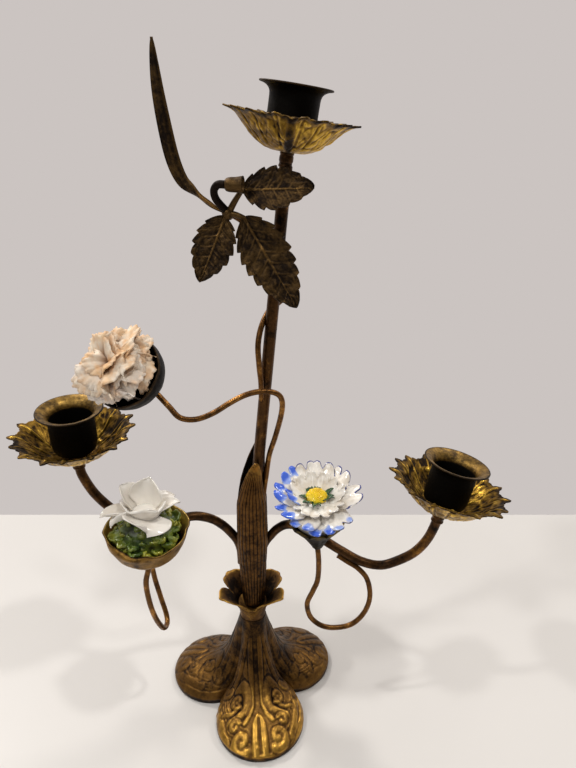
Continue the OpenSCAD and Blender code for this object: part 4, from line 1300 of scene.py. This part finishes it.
def make_magnolia():
    skins = []
    # (bearing, tilt, radius of foot, height of foot, length, width, cup, curl, bluntness, roll, flare, twist)
    for spin, tilt, radius, foot, length, width, cup, curl, blunt, roll, flare, twist in (
        (74, 5, 5.5, 28.5, 17.0, 20, 4.6, 0.0, 0.5, 0, 0.6, 0.0),
        (150, 26, 6.5, 28.5, 15.0, 13, 3.0, 0.0, 1.0, 4, 0.6, 0.3),
        (-114, 24, 4.8, 25.5, 13.5, 23, 5.2, 0.0, 0.95, 3, 1.0, 0.0),
        (-46, 28, 5.2, 25.6, 13.5, 19, 4.6, 0.0, 0.85, -4, 1.0, 0.0),
        (4, 56, 4.0, 28.5, 15.0, 10, 2.4, 0.2, 0.4, 10, 0.5, 0.0),
        (188, 82, 4.0, 29.0, 18.0, 13, 3.2, 0.2, 0.25, 12, -0.6, 0.6),
        (-146, 78, 4.0, 29.4, 14.0, 13, 3.0, 0.35, 0.6, 26, 0.0, -1.6),
        (-72, 80, 3.0, 29.2, 12.5, 25, 2.0, 0.35, 1.0, -14, 0.4, 2.6),
        (104, 60, 4.0, 29.0, 16.0, 14, 2.8, 0.3, 0.5, 0, 0.6, 0.0),
        (45, 68, 4.0, 29.0, 14.5, 12, 2.8, 0.3, 0.5, 0, 0.6, 0.0),
        (138, 76, 3.5, 29.0, 14.5, 12, 2.6, 0.3, 0.5, 0, 0.4, 0.0),
    ):
        skin, _, _ = cupped_petal(length, width, cup, curl, blunt, thick=0.62, flare=flare, wave=0.4,
                                  twist=twist)
        turn, place = petal_place(spin, tilt, (0, 0, foot), radius, roll)
        skins.append(placed(skin, turn, place))
    knot = turned([(0.4, 25.5), (5, 26), (7, 28), (7.0, 30), (5.2, 31.6), (2, 32.2), (0.4, 32.4)], 40, 0.2, 2)
    skins.append(capped(knot))
    piece("magnolia_petals", placed(joined(skins), np.eye(3), MAGNOLIA_SEAT), "root", WHITE_GLAZE,
          ["magnolia_bloom"])


def leaf_lump(rng):
    """Small thick notched leaf, cupped and veined, lying along +Z and opening towards +X."""
    v = np.linspace(0, 1, 13)[:, None]
    w = np.linspace(-1, 1, 11)[None, :]
    outline = np.sin(np.pi * (0.06 + 0.88 * v) ** 0.8) ** 0.6
    outline = outline * (1 + 0.10 * np.sin(v * 19 + rng.uniform(0, 6)))
    y = w * outline * 3.4
    z = 8.5 * v * np.ones_like(w)
    x = 1.6 * np.sin(np.pi * v) * (1 - 0.9 * w ** 2) + 0.9 * v ** 2
    x = x + 0.3 * np.sin(w * 4 + rng.uniform(0, 6)) * v
    crease = -0.5 * bead(np.abs(w), 0.2, 1.0) * (1 - v)
    grid = np.stack([x + crease, y, z], -1)
    out = surface_normals(grid)
    marks = np.clip(0.2 + 0.9 * v * (1 - 0.3 * np.abs(w)), 0, 1)
    return sheet(grid + out * 0.55, grid - out * 0.55, False, marks)


def make_leaf_bed():
    rng = np.random.default_rng(5)
    shapes = [shape_object("moss_leaf_shape", leaf_lump(rng)) for _ in range(3)]
    spots = []
    for height, radius, count, tilt in ((15, 13.4, 12, 62), (19, 15.4, 17, 72), (22.5, 16.2, 18, 64),
                                        (24.5, 13.0, 15, 58), (25.5, 9.0, 10, 44)):
        for k in range(count):
            spin = 360 * (k + rng.uniform(-0.3, 0.3)) / count + height * 7
            turn, place = petal_place(spin, tilt + rng.uniform(-30, 18), (0, 0, height - 3.5),
                                      radius - 4.6 + rng.uniform(-1.0, 1.0), rng.uniform(-50, 50))
            s = rng.uniform(0.55, 1.1)
            spots.append((place + MAGNOLIA_SEAT, turn, (s * 1.7, s * 1.1, s * 0.9), int(rng.integers(0, 3)),
                          rng.uniform(0, 1)))
    copies("magnolia_leaf_bed", shapes, spots, "root", MOSS, ["magnolia_leaves"])
    clay = turned([(0.4, 1.2), (4.4, 1.2), (5, 3), (10, 6.5), (13, 11), (14.0, 16), (13.8, 20), (12.4, 23.4),
                   (9, 25.6), (4, 26.8), (0.4, 27.0)], 90, 0.6, 7)
    clay = np.concatenate([clay[i:i + 1] * (1 - k / 4) + clay[i + 1:i + 2] * k / 4
                           for i in range(len(clay) - 1) for k in range(4)] + [clay[-1:]])
    lumps = grain(clay, 0.34, 9)
    clay[..., :2] *= (1 + 0.16 * (lumps - 0.5) * smooth_step(clay[..., 2], 4, 9))[..., None]
    points, faces, marks = capped(clay, np.clip(lumps * 0.9 - 0.1, 0, 1))
    piece("magnolia_clay", placed((points, faces, marks), np.eye(3), MAGNOLIA_SEAT), "root", MOSS,
          extra={"tint_and_light": np.full(len(points), 0.3)})


def make_magnolia_cup():
    """Thin brass cup whose rim is folded outwards in uneven waves."""
    sides, rows = 192, 48
    a = np.linspace(0, 2 * math.pi, sides, endpoint=False)[None, :]
    q = np.linspace(0, 1, rows)[:, None]
    r = np.interp(q, [0, 0.1, 0.3, 0.5, 0.75, 0.92, 1], [3.0, 6.5, 12, 16.3, 20, 21.6, 22.3])
    z = np.interp(q, [0, 0.1, 0.3, 0.5, 0.75, 0.92, 1], [0, 0.4, 3, 7, 14, 19.2, 20.6])
    # A broad flap is folded inwards at the front and the rim dips behind it
    dip = np.exp(-((np.degrees(np.angle(np.exp(1j * (a + 1.6)))) / 46) ** 2))
    front_flap = np.exp(-((np.degrees(np.angle(np.exp(1j * (a + 1.95)))) / 34) ** 2))
    fold = np.abs(np.sin(a * 2.5 + 0.4)) ** 0.8
    lift = smooth_step(q, 0.7, 1.0)
    r = r + lift * ((fold - 0.7) * 0.8 - front_flap * 4.2 * q ** 6)
    z = z + lift * (1.1 - 2.0 * fold * (1 - front_flap) + 0.35 * np.sin(a * 9 + 2) - 0.6 * front_flap
                    - 4.4 * dip)
    grid = np.stack([r * np.cos(a), r * np.sin(a), z * np.ones_like(a)], -1)
    out = surface_normals(grid, True)
    out *= np.sign(np.sum(out[rows // 2, 0] * [1, 0, 0]))
    dents = (rough_grain(grid, 0.2, 6) - 0.5) * 0.5
    front = grid + out * (dents - 0.1)[..., None]
    back = grid + out * (dents - 0.8)[..., None]
    front[..., 2] = np.maximum(front[..., 2], 0)
    marks = np.clip(0.36 + dents * 0.7 - 0.3 * smooth_step(q, 0.95, 1), 0, 1) * np.ones_like(a)
    inner = np.clip(0.1 + smooth_step(q, 0.55, 0.85) - 0.3 * smooth_step(q, 0.97, 1), 0, 1)
    inner = inner * np.ones_like(a)
    skin = sheet(front, back, True, marks, inner)
    piece("magnolia_cup_sheet", placed(skin, np.eye(3), MAGNOLIA_SEAT), "root", FLOWER_CUP_BRASS,
          ["magnolia_cup"])


# ---- daisy ----

# Turn in radians from one grain of the heart to the next
GOLDEN_ANGLE = 2.39996


def daisy_petal(rng, length, width, curl, fold, blue_left):
    """Two-lobed spoon petal; returns its skin, how blue each point is and its dark edge line."""
    rows, cols = 26, 27
    v = np.linspace(0, 1, rows)[:, None]
    w = np.linspace(-1, 1, cols)[None, :]
    outline = 0.30 + 0.70 * smooth_step(v, 0.0, 0.6)
    shoulder = np.clip((np.abs(w) - 0.45) / 0.55, 0, 1)
    notch = 1 - 0.17 * np.exp(-(w / 0.17) ** 2) - 0.36 * (1 - np.sqrt(np.clip(1 - shoulder ** 2, 0, 1)))
    radial = length * v * (1 + (notch - 1) * smooth_step(v, 0.3, 1))
    y = w * outline * width / 2 * (1 - 0.10 * smooth_step(v, 0.85, 1.0))
    trough = fold * (0.5 - 0.5 * np.cos(w * np.pi * 2)) * smooth_step(v, 0.2, 0.8)
    x = -0.55 * trough - 0.6 * (1 - w ** 2) * smooth_step(v, 0.1, 0.7) + curl * v ** 2.2
    x = x - 0.9 * smooth_step(v, 0.8, 1.0) * (1 - 0.5 * np.abs(w))
    x = x + 0.3 * np.sin(w * 6 + rng.uniform(0, 6)) * v ** 3
    grid = np.stack([x, y, radial - np.abs(curl) * 0.25 * v ** 3], -1)
    out = surface_normals(grid)
    body = 0.5 * (1 - 0.25 * v) * np.ones_like(w)
    marks = np.clip(0.1 + 1.1 * v - 0.12 * trough + 0.1 * np.abs(w), 0, 1)
    skin = sheet(grid + out * body[..., None], grid - out * body[..., None], False, marks)
    side = smooth_step(np.abs(w), 0.86, 1.0) * smooth_step(v, 0.5, 0.8)
    edge = np.maximum(smooth_step(v, 0.76, 0.95), side)
    eyes = np.exp(-(((np.abs(w) - 0.5) / 0.36) ** 2 + ((v - 0.86) / 0.22) ** 2) ** 2)
    blue = np.clip(edge * 0.6 * blue_left + eyes * blue_left * 0.95, 0, 1) * np.ones_like(w)
    line = np.maximum(smooth_step(v, 0.93, 0.99), side * smooth_step(np.abs(w), 0.9, 1.0)) * np.ones_like(w)
    line = line * (1 - 0.7 * blue_left) * (1.0 if length > 18 else 0.0)
    return skin, np.concatenate([blue.reshape(-1)] * 2), np.concatenate([line.reshape(-1)] * 2)


def make_daisy():
    rng = np.random.default_rng(23)
    turn = turn_matrix(DAISY_TURN[0], DAISY_TURN[1], 0)
    skins, blues, lines = [], [], []
    # (bearing, tilt from upright, length, width, curl at the end, fold, blue)
    petals = [
        (2, 76, 22.6, 17.0, 0.6, 1.9, 0.05), (40, 62, 21.6, 15.5, 0.2, 1.7, 0.0),
        (76, 55, 21.0, 15.5, 0.0, 1.7, 0.0), (108, 54, 21.0, 14.5, 0.0, 1.6, 0.05),
        (142, 56, 22.0, 15.5, 0.6, 1.8, 0.8), (178, 66, 22.3, 15.0, 0.6, 1.6, 1.0),
        (212, 78, 21.8, 15.5, 0.8, 1.8, 1.0), (244, 90, 20.0, 15.0, 1.0, 1.9, 0.6),
        (277, 101, 19.5, 16.0, 1.6, 2.4, 0.7), (312, 96, 20.0, 15.5, 1.2, 2.0, 0.4),
        (158, 52, 15.5, 11.5, 0.3, 1.3, 0.1), (192, 60, 16.5, 11.5, 0.3, 1.4, 1.0),
        (232, 74, 14.5, 11.5, 0.8, 1.3, 0.0), (276, 80, 14.0, 12.0, 0.8, 1.3, 0.0),
        (318, 74, 14.5, 12.0, 0.6, 1.2, 0.0), (2, 60, 15.0, 11.5, 0.2, 1.2, 0.0),
        (44, 48, 14.5, 11.5, 0.1, 1.2, 0.0), (84, 45, 14.5, 11.5, 0.1, 1.2, 0.0),
        (122, 46, 15.0, 11.5, 0.2, 1.2, 0.0),
    ]
    for spin, tilt, length, width, curl, fold, blue in petals:
        skin, shade, line = daisy_petal(rng, length, width, curl, fold, blue)
        outer = length > 18
        face, place = petal_place(spin, tilt, (0, 0, 30.5 if outer else 31.5), 2.2, rng.uniform(-7, 7))
        skins.append(placed(skin, face, place))
        blues.append(shade)
        lines.append(line)
    seat = capped(turned([(0.4, 5.1), (3.1, 5.1), (6.6, 11.7), (11.4, 18.6), (12.6, 22), (11, 26), (8, 31),
                          (6.2, 34.0), (0.4, 34.4)], 48, 0.15, 3))
    skins.append(seat)
    blues.append(np.zeros(len(seat[0])))
    lines.append(np.zeros(len(seat[0])))
    piece("daisy_bloom", placed(joined(skins), turn, DAISY_SEAT), "root", DAISY, ["daisy_petals"],
          {"blue": np.concatenate(blues), "line": np.concatenate(lines)})
    # Granular yellow heart with a ring of small green leaf tips round it
    grains = []
    dome = capped(turned([(0.3, 33.4), (5.1, 33.6), (5.6, 34.8), (5.2, 36.2), (3.8, 37.4), (2.0, 38.1),
                          (0.3, 38.3)], 36))
    grain_shape = capped(turned([(0.15, -0.5), (0.42, -0.28), (0.55, 0.05), (0.42, 0.36), (0.15, 0.52)], 7))
    count = 230
    for k in range(count):
        share = (k + 0.5) / count
        lift = math.acos(1 - share * 0.86)
        spin = k * GOLDEN_ANGLE
        p = np.array([math.sin(lift) * math.cos(spin), math.sin(lift) * math.sin(spin), math.cos(lift)])
        place = p * [5.4, 5.4, 4.2] + [0, 0, 34.1] + rng.uniform(-0.12, 0.12, 3)
        s = rng.uniform(0.75, 1.2)
        grains.append((turn @ place + DAISY_SEAT, turn @ facing(p), (s, s, s), 0, rng.uniform(0, 1)))
    copies("daisy_heart", [shape_object("grain_shape", grain_shape)], grains, "root", YELLOW,
           ["daisy_centre"])
    piece("daisy_heart_core", placed(dome, turn, DAISY_SEAT), "root", YELLOW,
          extra={"tint_and_light": np.full(len(dome[0]), 0.2)})
    tips = []
    tip_shape, _, _ = cupped_petal(5.4, 2.6, 0.4, 0.3, 0.0, rows=10, cols=5, thick=0.34)
    for k in range(15):
        spin, tilt = 360 * k / 15 + rng.uniform(-8, 8), 46 + rng.uniform(-12, 10)
        face, place = petal_place(spin, tilt, (0, 0, 33.6), 3.7)
        s = rng.uniform(0.95, 1.4)
        tips.append((turn @ place + DAISY_SEAT, turn @ face, (s, s, s), 0, rng.uniform(0, 0.4)))
    copies("daisy_green_tips", [shape_object("tip_shape", tip_shape)], tips, "root", GREEN_GLAZE, [])


def make_calyx():
    """Dark painted cone with a toothed, lightly fluted mouth."""
    sides, rows = 144, 30
    a = np.linspace(0, 2 * math.pi, sides, endpoint=False)[None, :]
    q = np.linspace(0, 1, rows)[:, None]
    r = np.interp(q, [0, 0.04, 0.2, 0.5, 0.82, 1], [1.0, 2.6, 4.5, 8.5, 13.5, 15.0])
    z = np.interp(q, [0, 0.04, 0.2, 0.5, 0.82, 1], [0, 0.05, 4, 11, 18, 20.9])
    flute = np.abs(np.sin(a * 5)) ** 0.7
    top = smooth_step(q, 0.7, 1.0)
    z = z - top * 2.2 * (1 - flute)
    r = r + (flute - 0.6) * 0.5 * smooth_step(q, 0.15, 0.5)
    grid = np.stack([r * np.cos(a), r * np.sin(a), z * np.ones_like(a)], -1)
    out = surface_normals(grid, True)
    out *= np.sign(np.sum(out[rows // 2, 0] * [1, 0, 0]))
    rough = (rough_grain(grid, 0.4, 6) - 0.5) * 0.35
    front = grid + out * rough[..., None]
    back = grid + out * (rough - 0.9)[..., None]
    front[..., 2] = np.maximum(front[..., 2], 0)
    marks = np.clip(0.25 + rough + 0.4 * top * flute, 0, 1) * np.ones_like(a)
    turn = turn_matrix(DAISY_TURN[0], DAISY_TURN[1], 0)
    piece("daisy_calyx", placed(sheet(front, back, True, marks), turn, DAISY_SEAT), "root", CALYX_BRASS,
          ["daisy_cup"])


# ---- leaf sprig ----

def leaf_skin(foot, tip, half_w, teeth, seed):
    """Serrated sheet leaf with a midrib, side veins and quilted flesh between them."""
    rows, cols = teeth * 22 + 1, 61
    foot, tip = np.asarray(foot, float), np.asarray(tip, float)
    run = tip - foot
    front_dir = unit(np.array([0, -0.9, 0.45]))
    across = unit(np.cross(run, front_dir))
    u = np.linspace(0.004, 0.996, rows)[:, None]
    s = np.linspace(-1, 1, cols)[None, :]
    shape = np.sin(np.pi * u ** 0.8) ** 0.7
    notch = (u * teeth - 0.12 * np.sign(s)) % 1
    saw = 0.80 + 0.20 * notch ** 0.55 * (1 - 0.75 * smooth_step(notch, 0.86, 1.0))
    saw = np.where(u > 0.94, 0.92 + 0.08 * saw, saw)
    saw = 1 - (1 - saw) * smooth_step(np.abs(s), 0.45, 1.0)
    width = np.maximum(half_w * shape * saw, 0.25)
    lean_u = u - 0.27 * np.abs(s) * (1 - u * 0.55) + 0.07 * s ** 2
    phase = (lean_u * teeth * 1.02 + 0.16 * np.sign(s) + 0.2) % 1
    to_vein = np.minimum(phase, 1 - phase)
    vein = bead(to_vein, 0.10, 1.0) * smooth_step(np.abs(s), 0.0, 0.06) * (1 - 0.75 * np.abs(s))
    midrib = bead(np.abs(s) * width, 0.75 * (1.15 - u), 1.0) * smooth_step(-u, -0.99, -0.9)
    quilt = np.sin(np.pi * phase) ** 0.8 * smooth_step(np.abs(s), 0.05, 0.3)
    h = 0.42 * np.maximum(vein, midrib * 1.4) + 0.55 * quilt
    u, s = u * np.ones_like(s), s * np.ones_like(u)
    spot = np.stack([u * 40, s * 14, np.full((rows, cols), seed * 7.0)], -1)
    wrinkle = np.stack([u * 60 - np.abs(s) * 13, s * 16, np.full((rows, cols), seed * 7.0)], -1)
    h = h + (rough_grain(spot, 0.35, seed) - 0.5) * 0.8 + (rough_grain(wrinkle, 0.42, seed) - 0.5) * 0.8
    bow, cup = 2.0, 1.5
    lift = cup * s ** 2 - bow * u * (1 - u) + 0.5 * np.sin(u * 9 + seed) * s
    h = softened(h, 1, False)
    mid = foot + run * u[..., None] + across * (s * width)[..., None] + front_dir * lift[..., None]
    front = mid + front_dir * (h * 0.75)[..., None]
    back = mid + front_dir * (h * 0.75 - 0.75)[..., None]
    proud = h - softened(h, 6, False)
    marks = np.clip(0.34 + 0.65 * proud + 0.10 * vein + 0.22 * midrib, 0, 1)
    under = np.clip(0.36 - 0.6 * proud, 0, 1)
    return sheet(front, back, False, marks, under)


def blade_skin():
    """Long lance leaf, folded along its middle, that twists once near its foot."""
    route = along([
        (-16, -9, 98), (-22, -10, 101.5), (-27.5, -11, 105.5), (-32, -11, 109.5), (-35, -11, 113),
        (-37.5, -11, 118.5), (-39.5, -11, 126), (-41.5, -11, 138), (-43, -11, 150), (-43.7, -11, 160.5),
        (-44, -11, 169.8)], 12) + SPRIG_ROOT
    n = len(route)
    cols = 15
    k = np.linspace(0, 1, n)
    half = np.maximum(0.35, 3.2 * np.sin(np.pi * np.minimum(0.985, k) ** 1.3) ** 0.6)
    dirs = unit(np.gradient(route, axis=0))
    flat = unit(np.cross(dirs, np.array([0, 1.0, 0])))
    up = np.cross(flat, dirs)
    twist = np.radians(70) * np.exp(-((k - 0.2) / 0.11) ** 2) - np.radians(14)
    side = flat * np.cos(twist)[:, None] + up * np.sin(twist)[:, None]
    out = up * np.cos(twist)[:, None] - flat * np.sin(twist)[:, None]
    s = np.linspace(-1, 1, cols)[None, :]
    crease = 0.9 * np.abs(s) * np.minimum(1, half / 3)[:, None]
    ribs = 0.05 * np.cos(s * 9) * np.minimum(1, half / 3)[:, None]
    mid = route[:, None, :] + side[:, None, :] * (s * half[:, None])[..., None]
    front = mid - out[:, None, :] * (0.4 + ribs + 0.0 * s - crease)[..., None]
    back = mid + out[:, None, :] * (0.4 + crease)[..., None]
    edge = bead(np.abs(s + 1), 0.3, 1.0) * 0.25
    marks = np.clip(0.36 + ribs + edge + 0.4 * smooth_step(-k, -0.26, -0.2)[:, None] * (s < 0.3), 0, 1)
    return sheet(front, back, False, marks * np.ones((n, cols)))


def make_sprig():
    right_foot, left_foot = SPRIG + [7, -2, 11], SPRIG + [-1.5, -1, -1.5]
    large_foot = SPRIG + [7.5, -3, -1.5]
    for name, foot, tip, half_w, teeth, seed in (
        ("leaf_right", right_foot, SPRIG + [39.5, -10, 12.5], 10.5, 6, 1),
        ("leaf_left", left_foot, SPRIG + [-14, -8, -30.5], 10.5, 6, 2),
        ("leaf_large", large_foot, SPRIG + [32, -13, -41.5], 12.5, 8, 3),
    ):
        piece(name + "_sheet", leaf_skin(foot, tip, half_w, teeth, seed), "root", LEAF_BRASS, [name])
    piece("blade_sheet", blade_skin(), "root", LEAF_BRASS, ["blade_leaf"])
    tendril = [SPRIG_ROOT + p for p in np.array([
        (-1.5, -2.8, 0), (-1.5, -4.6, 11), (-2.3, -5, 21), (-2.7, -4, 31.5), (-1, 0, 40), (2.5, 7, 46),
        (7, 9.5, 49.5), (11, 7, 54), (12.5, 0, 61), (11, -5.5, 70), (3, -8.5, 83.5), (-7.5, -9.5, 94),
        (-14, -9, 98)], float)]
    rod("tendril_rod", tendril, WIRE_R, "root", WIRE_BRASS, ["sprig_tendril"], steps=7)
    bud = [SPRIG_ROOT + p for p in np.array([
        (-16, -9.5, 99.5), (-20, -11, 104.5), (-20.8, -12.3, 108.5), (-18.8, -14, 111.3),
        (-15.5, -15, 111.5)], float)]
    rod("bud_rod", bud, WIRE_R * 1.2, "root", LEAF_BRASS, ["bud_wire"], steps=8)
    cup = rounded([(0.6, 0), (2.2, 0.1), (2.9, 0.8), (3.3, 2.6), (3.3, 5), (3.7, 7.4), (3.9, 8.4), (3.3, 8.5),
                   (2.7, 6.5), (2.4, 4), (1.9, 2.6), (0.6, 2.5)], 2)
    cup[:, 1] = np.clip(cup[:, 1], 0, 8.5)
    turn = turn_matrix(0, 90, -8)
    piece("bud_cup_shell", placed(ring_loop(turned(cup, 48, 0.3, 3)), turn, SPRIG_ROOT + [-15.5, -15, 111.5]),
          "root", LEAF_BRASS, ["bud_cup"])
    make_knot(right_foot, left_foot, large_foot)


def make_knot(*feet):
    """Soldered knot: a lumpy ball with the leaves' tapering stalks running into it."""
    a = np.linspace(0, 2 * math.pi, 40, endpoint=False)[None, :]
    b = np.linspace(0.06, math.pi - 0.06, 24)[:, None]
    ball = np.stack([np.sin(b) * np.cos(a), np.sin(b) * np.sin(a), np.cos(b) * np.ones_like(a)], -1)
    ball = ball * (2.9 + (rough_grain(ball * 3, 0.9, 2)[..., None] - 0.5) * 1.1)
    skins = [placed(capped(ball), np.eye(3), SPRIG)]
    for foot in feet:
        route = along([SPRIG, (SPRIG + foot) / 2 + [0, -0.5, 0.5], foot + [0, 0.3, 0],
                       foot + (foot - SPRIG) * 0.12], 8)
        dirs = unit(np.gradient(route, axis=0))
        side = unit(np.cross(dirs, np.array([0, 1.0, 0.2])))
        up = np.cross(side, dirs)
        r = np.linspace(1.7, 0.8, len(route))[:, None, None]
        c = np.linspace(0, 2 * math.pi, 16, endpoint=False)
        ring = side[:, None, :] * np.cos(c)[None, :, None] + up[:, None, :] * np.sin(c)[None, :, None]
        skins.append(capped(route[:, None, :] + ring * r))
    piece("sprig_solder", joined(skins), "root", LEAF_BRASS, ["sprig_knot"])


# ---- small CAD pieces that keep their shape ----

def dress_cad_nodes():
    for node in ("base_washer", "base_nut"):
        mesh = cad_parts[node].data
        mesh.materials.clear()
        mesh.materials.append(HARDWARE)


# ---- studio ----

# Metres, degrees below level, and the lens in millimetres
VIEWER_PLACE = (0.022, -0.300, 0.347)
VIEWER_DOWN = 23.45
VIEWER_LENS = 29.0625
TABLE_NEAR_Y, TABLE_FAR_Y, TABLE_HALF = -1.6, 0.189, 1.8


def make_room(scene):
    world = bpy.data.worlds.new("Studio")
    scene.world = world
    world.use_nodes = True
    tree = world.node_tree
    back = tree.nodes["Background"]
    # The room behind the viewer is dimmer than the pale wall, so the metal stays dark in front
    look = add(tree, "ShaderNodeTexCoord")
    parts = add(tree, "ShaderNodeSeparateXYZ")
    tree.links.new(look.outputs["Generated"], parts.inputs[0])
    room = eased(tree, parts.outputs["Y"], -0.7, 0.7)
    high = eased(tree, parts.outputs["Z"], -0.2, 0.9, 0.0, 0.35)
    shade = blend_colour(tree, room, colour("3b3632"), colour("cfc7c4"))
    shade = blend_colour(tree, high, shade, colour("f2f0ee"))
    path = add(tree, "ShaderNodeLightPath")
    seen = blend_colour(tree, path.outputs["Is Camera Ray"], shade, colour("cbc4c1"))
    tree.links.new(seen, back.inputs["Color"])


def make_table(scene):
    floor_mesh = bpy.data.meshes.new("table_top")
    near_y, far_y, half = TABLE_NEAR_Y, TABLE_FAR_Y, TABLE_HALF
    floor_mesh.from_pydata([(-half, near_y, 0), (half, near_y, 0), (half, far_y, 0), (-half, far_y, 0)], [],
                           [(0, 1, 2, 3)])
    floor = bpy.data.objects.new("table_top", floor_mesh)
    scene.collection.objects.link(floor)
    material, tree, shader, place = start_material("table_paint")
    speck = texture(tree, "ShaderNodeTexNoise", place, 9.0, Detail=3.0)
    tone = blend_colour(tree, speck.outputs[0], colour("cfccc8"), colour("d6d3cf"))
    tree.links.new(tone, shader.inputs["Base Color"])
    tree.links.new(eased(tree, speck.outputs[0], 0.2, 0.8, 0.42, 0.55), shader.inputs["Roughness"])
    floor_mesh.materials.append(material)


def make_lamps(scene):
    for name, place, aim, size, watts, shade in (
        ("lamp_left_back", (-0.75, 0.75, 1.25), (0, 0, 0.15), 0.2, 8, "fffaf4"),
        ("lamp_right_back", (0.85, 0.5, 1.2), (0, 0, 0.15), 0.2, 4, "fffaf4"),
        ("lamp_left_high", (-0.62, -0.31, 1.2), (0, 0, 0.1), 0.07, 3.6, "fffdfa"),
        ("lamp_right_high", (0.34, -0.32, 1.25), (0, 0, 0.1), 0.07, 3.6, "fffdfa"),
        ("lamp_front", (-0.5, -1.1, 1.0), (0, 0, 0.15), 0.7, 3, "ffffff"),
    ):
        light = bpy.data.lights.new(name, "AREA")
        light.shape = "DISK"
        light.size = size
        light.energy = watts
        light.color = colour(shade)[:3]
        lamp = bpy.data.objects.new(name, light)
        lamp.location = place
        lamp.rotation_euler = (Vector(aim) - Vector(place)).to_track_quat("-Z", "Y").to_euler()
        scene.collection.objects.link(lamp)


def make_camera(scene):
    camera = bpy.data.cameras.new("Camera")
    camera.lens = VIEWER_LENS
    camera.clip_start = 0.01
    viewer = bpy.data.objects.new("Camera", camera)
    viewer.location = VIEWER_PLACE
    viewer.rotation_euler = (math.radians(90 - VIEWER_DOWN), 0, 0)
    scene.collection.objects.link(viewer)
    scene.camera = viewer


def make_studio():
    scene = bpy.context.scene
    scene.view_settings.view_transform = "Standard"
    make_room(scene)
    make_table(scene)
    make_lamps(scene)
    make_camera(scene)


ROD_TREE = rod_tree()
COPIES_TREE = copies_tree()
PATINA = patina_group()
GLAZE = glaze_group()
BASE_BRASS = brass("base_brass", "1f130a", "68491f", "c0923e", 0.44, patchy=0.24, polish=0.05)
COLLAR_BRASS = brass("collar_brass", "1e130a", "664826", "b88e42", 0.44, patchy=0.4)
ROD_BRASS = brass("rod_brass", "120a05", "4c3218", "c88c3a", 0.34, 55.0, relief=False,
                  patchy=0.34, polish=0.14)
WIRE_BRASS = brass("wire_brass", "180e06", "66441f", "d2974a", 0.42, 90.0, relief=False,
                   patchy=0.34, polish=0.14)
SHEATH_BRASS = brass("sheath_brass", "1a0f07", "6c4a22", "cc9d4e", 0.50, patchy=0.10, polish=0.08)
PAN_BRASS = brass("pan_brass", "201407", "7c5d1e", "dab044", 0.50, 90.0, patchy=0.3, polish=0.04)
# Near-black nozzle finish: partly dark patina, partly painted shade on the nozzles' fronts
NOZZLE_BRASS = brass("nozzle_brass", "0c0906", "382a18", "b48e46", 0.34, 90.0, depth=0.00015, patchy=0.14)
CALYX_BRASS = brass("calyx_paint", "15110a", "4a3f20", "8f7b40", 0.44)
LEAF_BRASS = brass("leaf_brass", "1a110a", "523d20", "946f3a", 0.42, 60.0, patchy=0.2)
# The bowl's near-black darkest colour paints the shade inside the bowl
BOWL_BRASS = brass("bowl_brass", "0d0906", "35281a", "8f6f3a", 0.30, patchy=0.2)
PLAIN_BRASS = brass("plain_brass", "1a110a", "5a4020", "a07432", 0.40, 80.0)
HARDWARE = brass("hardware_brass", "1a110a", "5a4020", "a07432", 0.60, 80.0, relief=False)
FLOWER_CUP_BRASS = brass("flower_cup_brass", "1c1209", "8a6830", "dcbb6c", 0.52)
WHITE_GLAZE = glazed("white_glaze", "eee9e0", "e2dace", 90.0, 0.3, 0.6)
YELLOW = glazed("yellow_glaze", "f3d11c", "dcae12", 300.0, 0.2, 0.3)
GREEN_GLAZE = glazed("green_glaze", "2f5a34", "1d3c24", 300.0, 0.4, 0.4)
CARNATION = carnation_finish()
DAISY = daisy_finish()
MOSS = moss_finish()

make_base()
make_collar()
make_stem()
make_sheath("sheath_front_leaf", -90, 110, 1)
make_sheath("sheath_back_leaf", 90, 123, 2)
make_arms()
make_wires()
make_holders()
make_bowl()
make_carnation()
make_magnolia_cup()
make_leaf_bed()
make_magnolia()
make_calyx()
make_daisy()
make_sprig()
dress_cad_nodes()
make_studio()
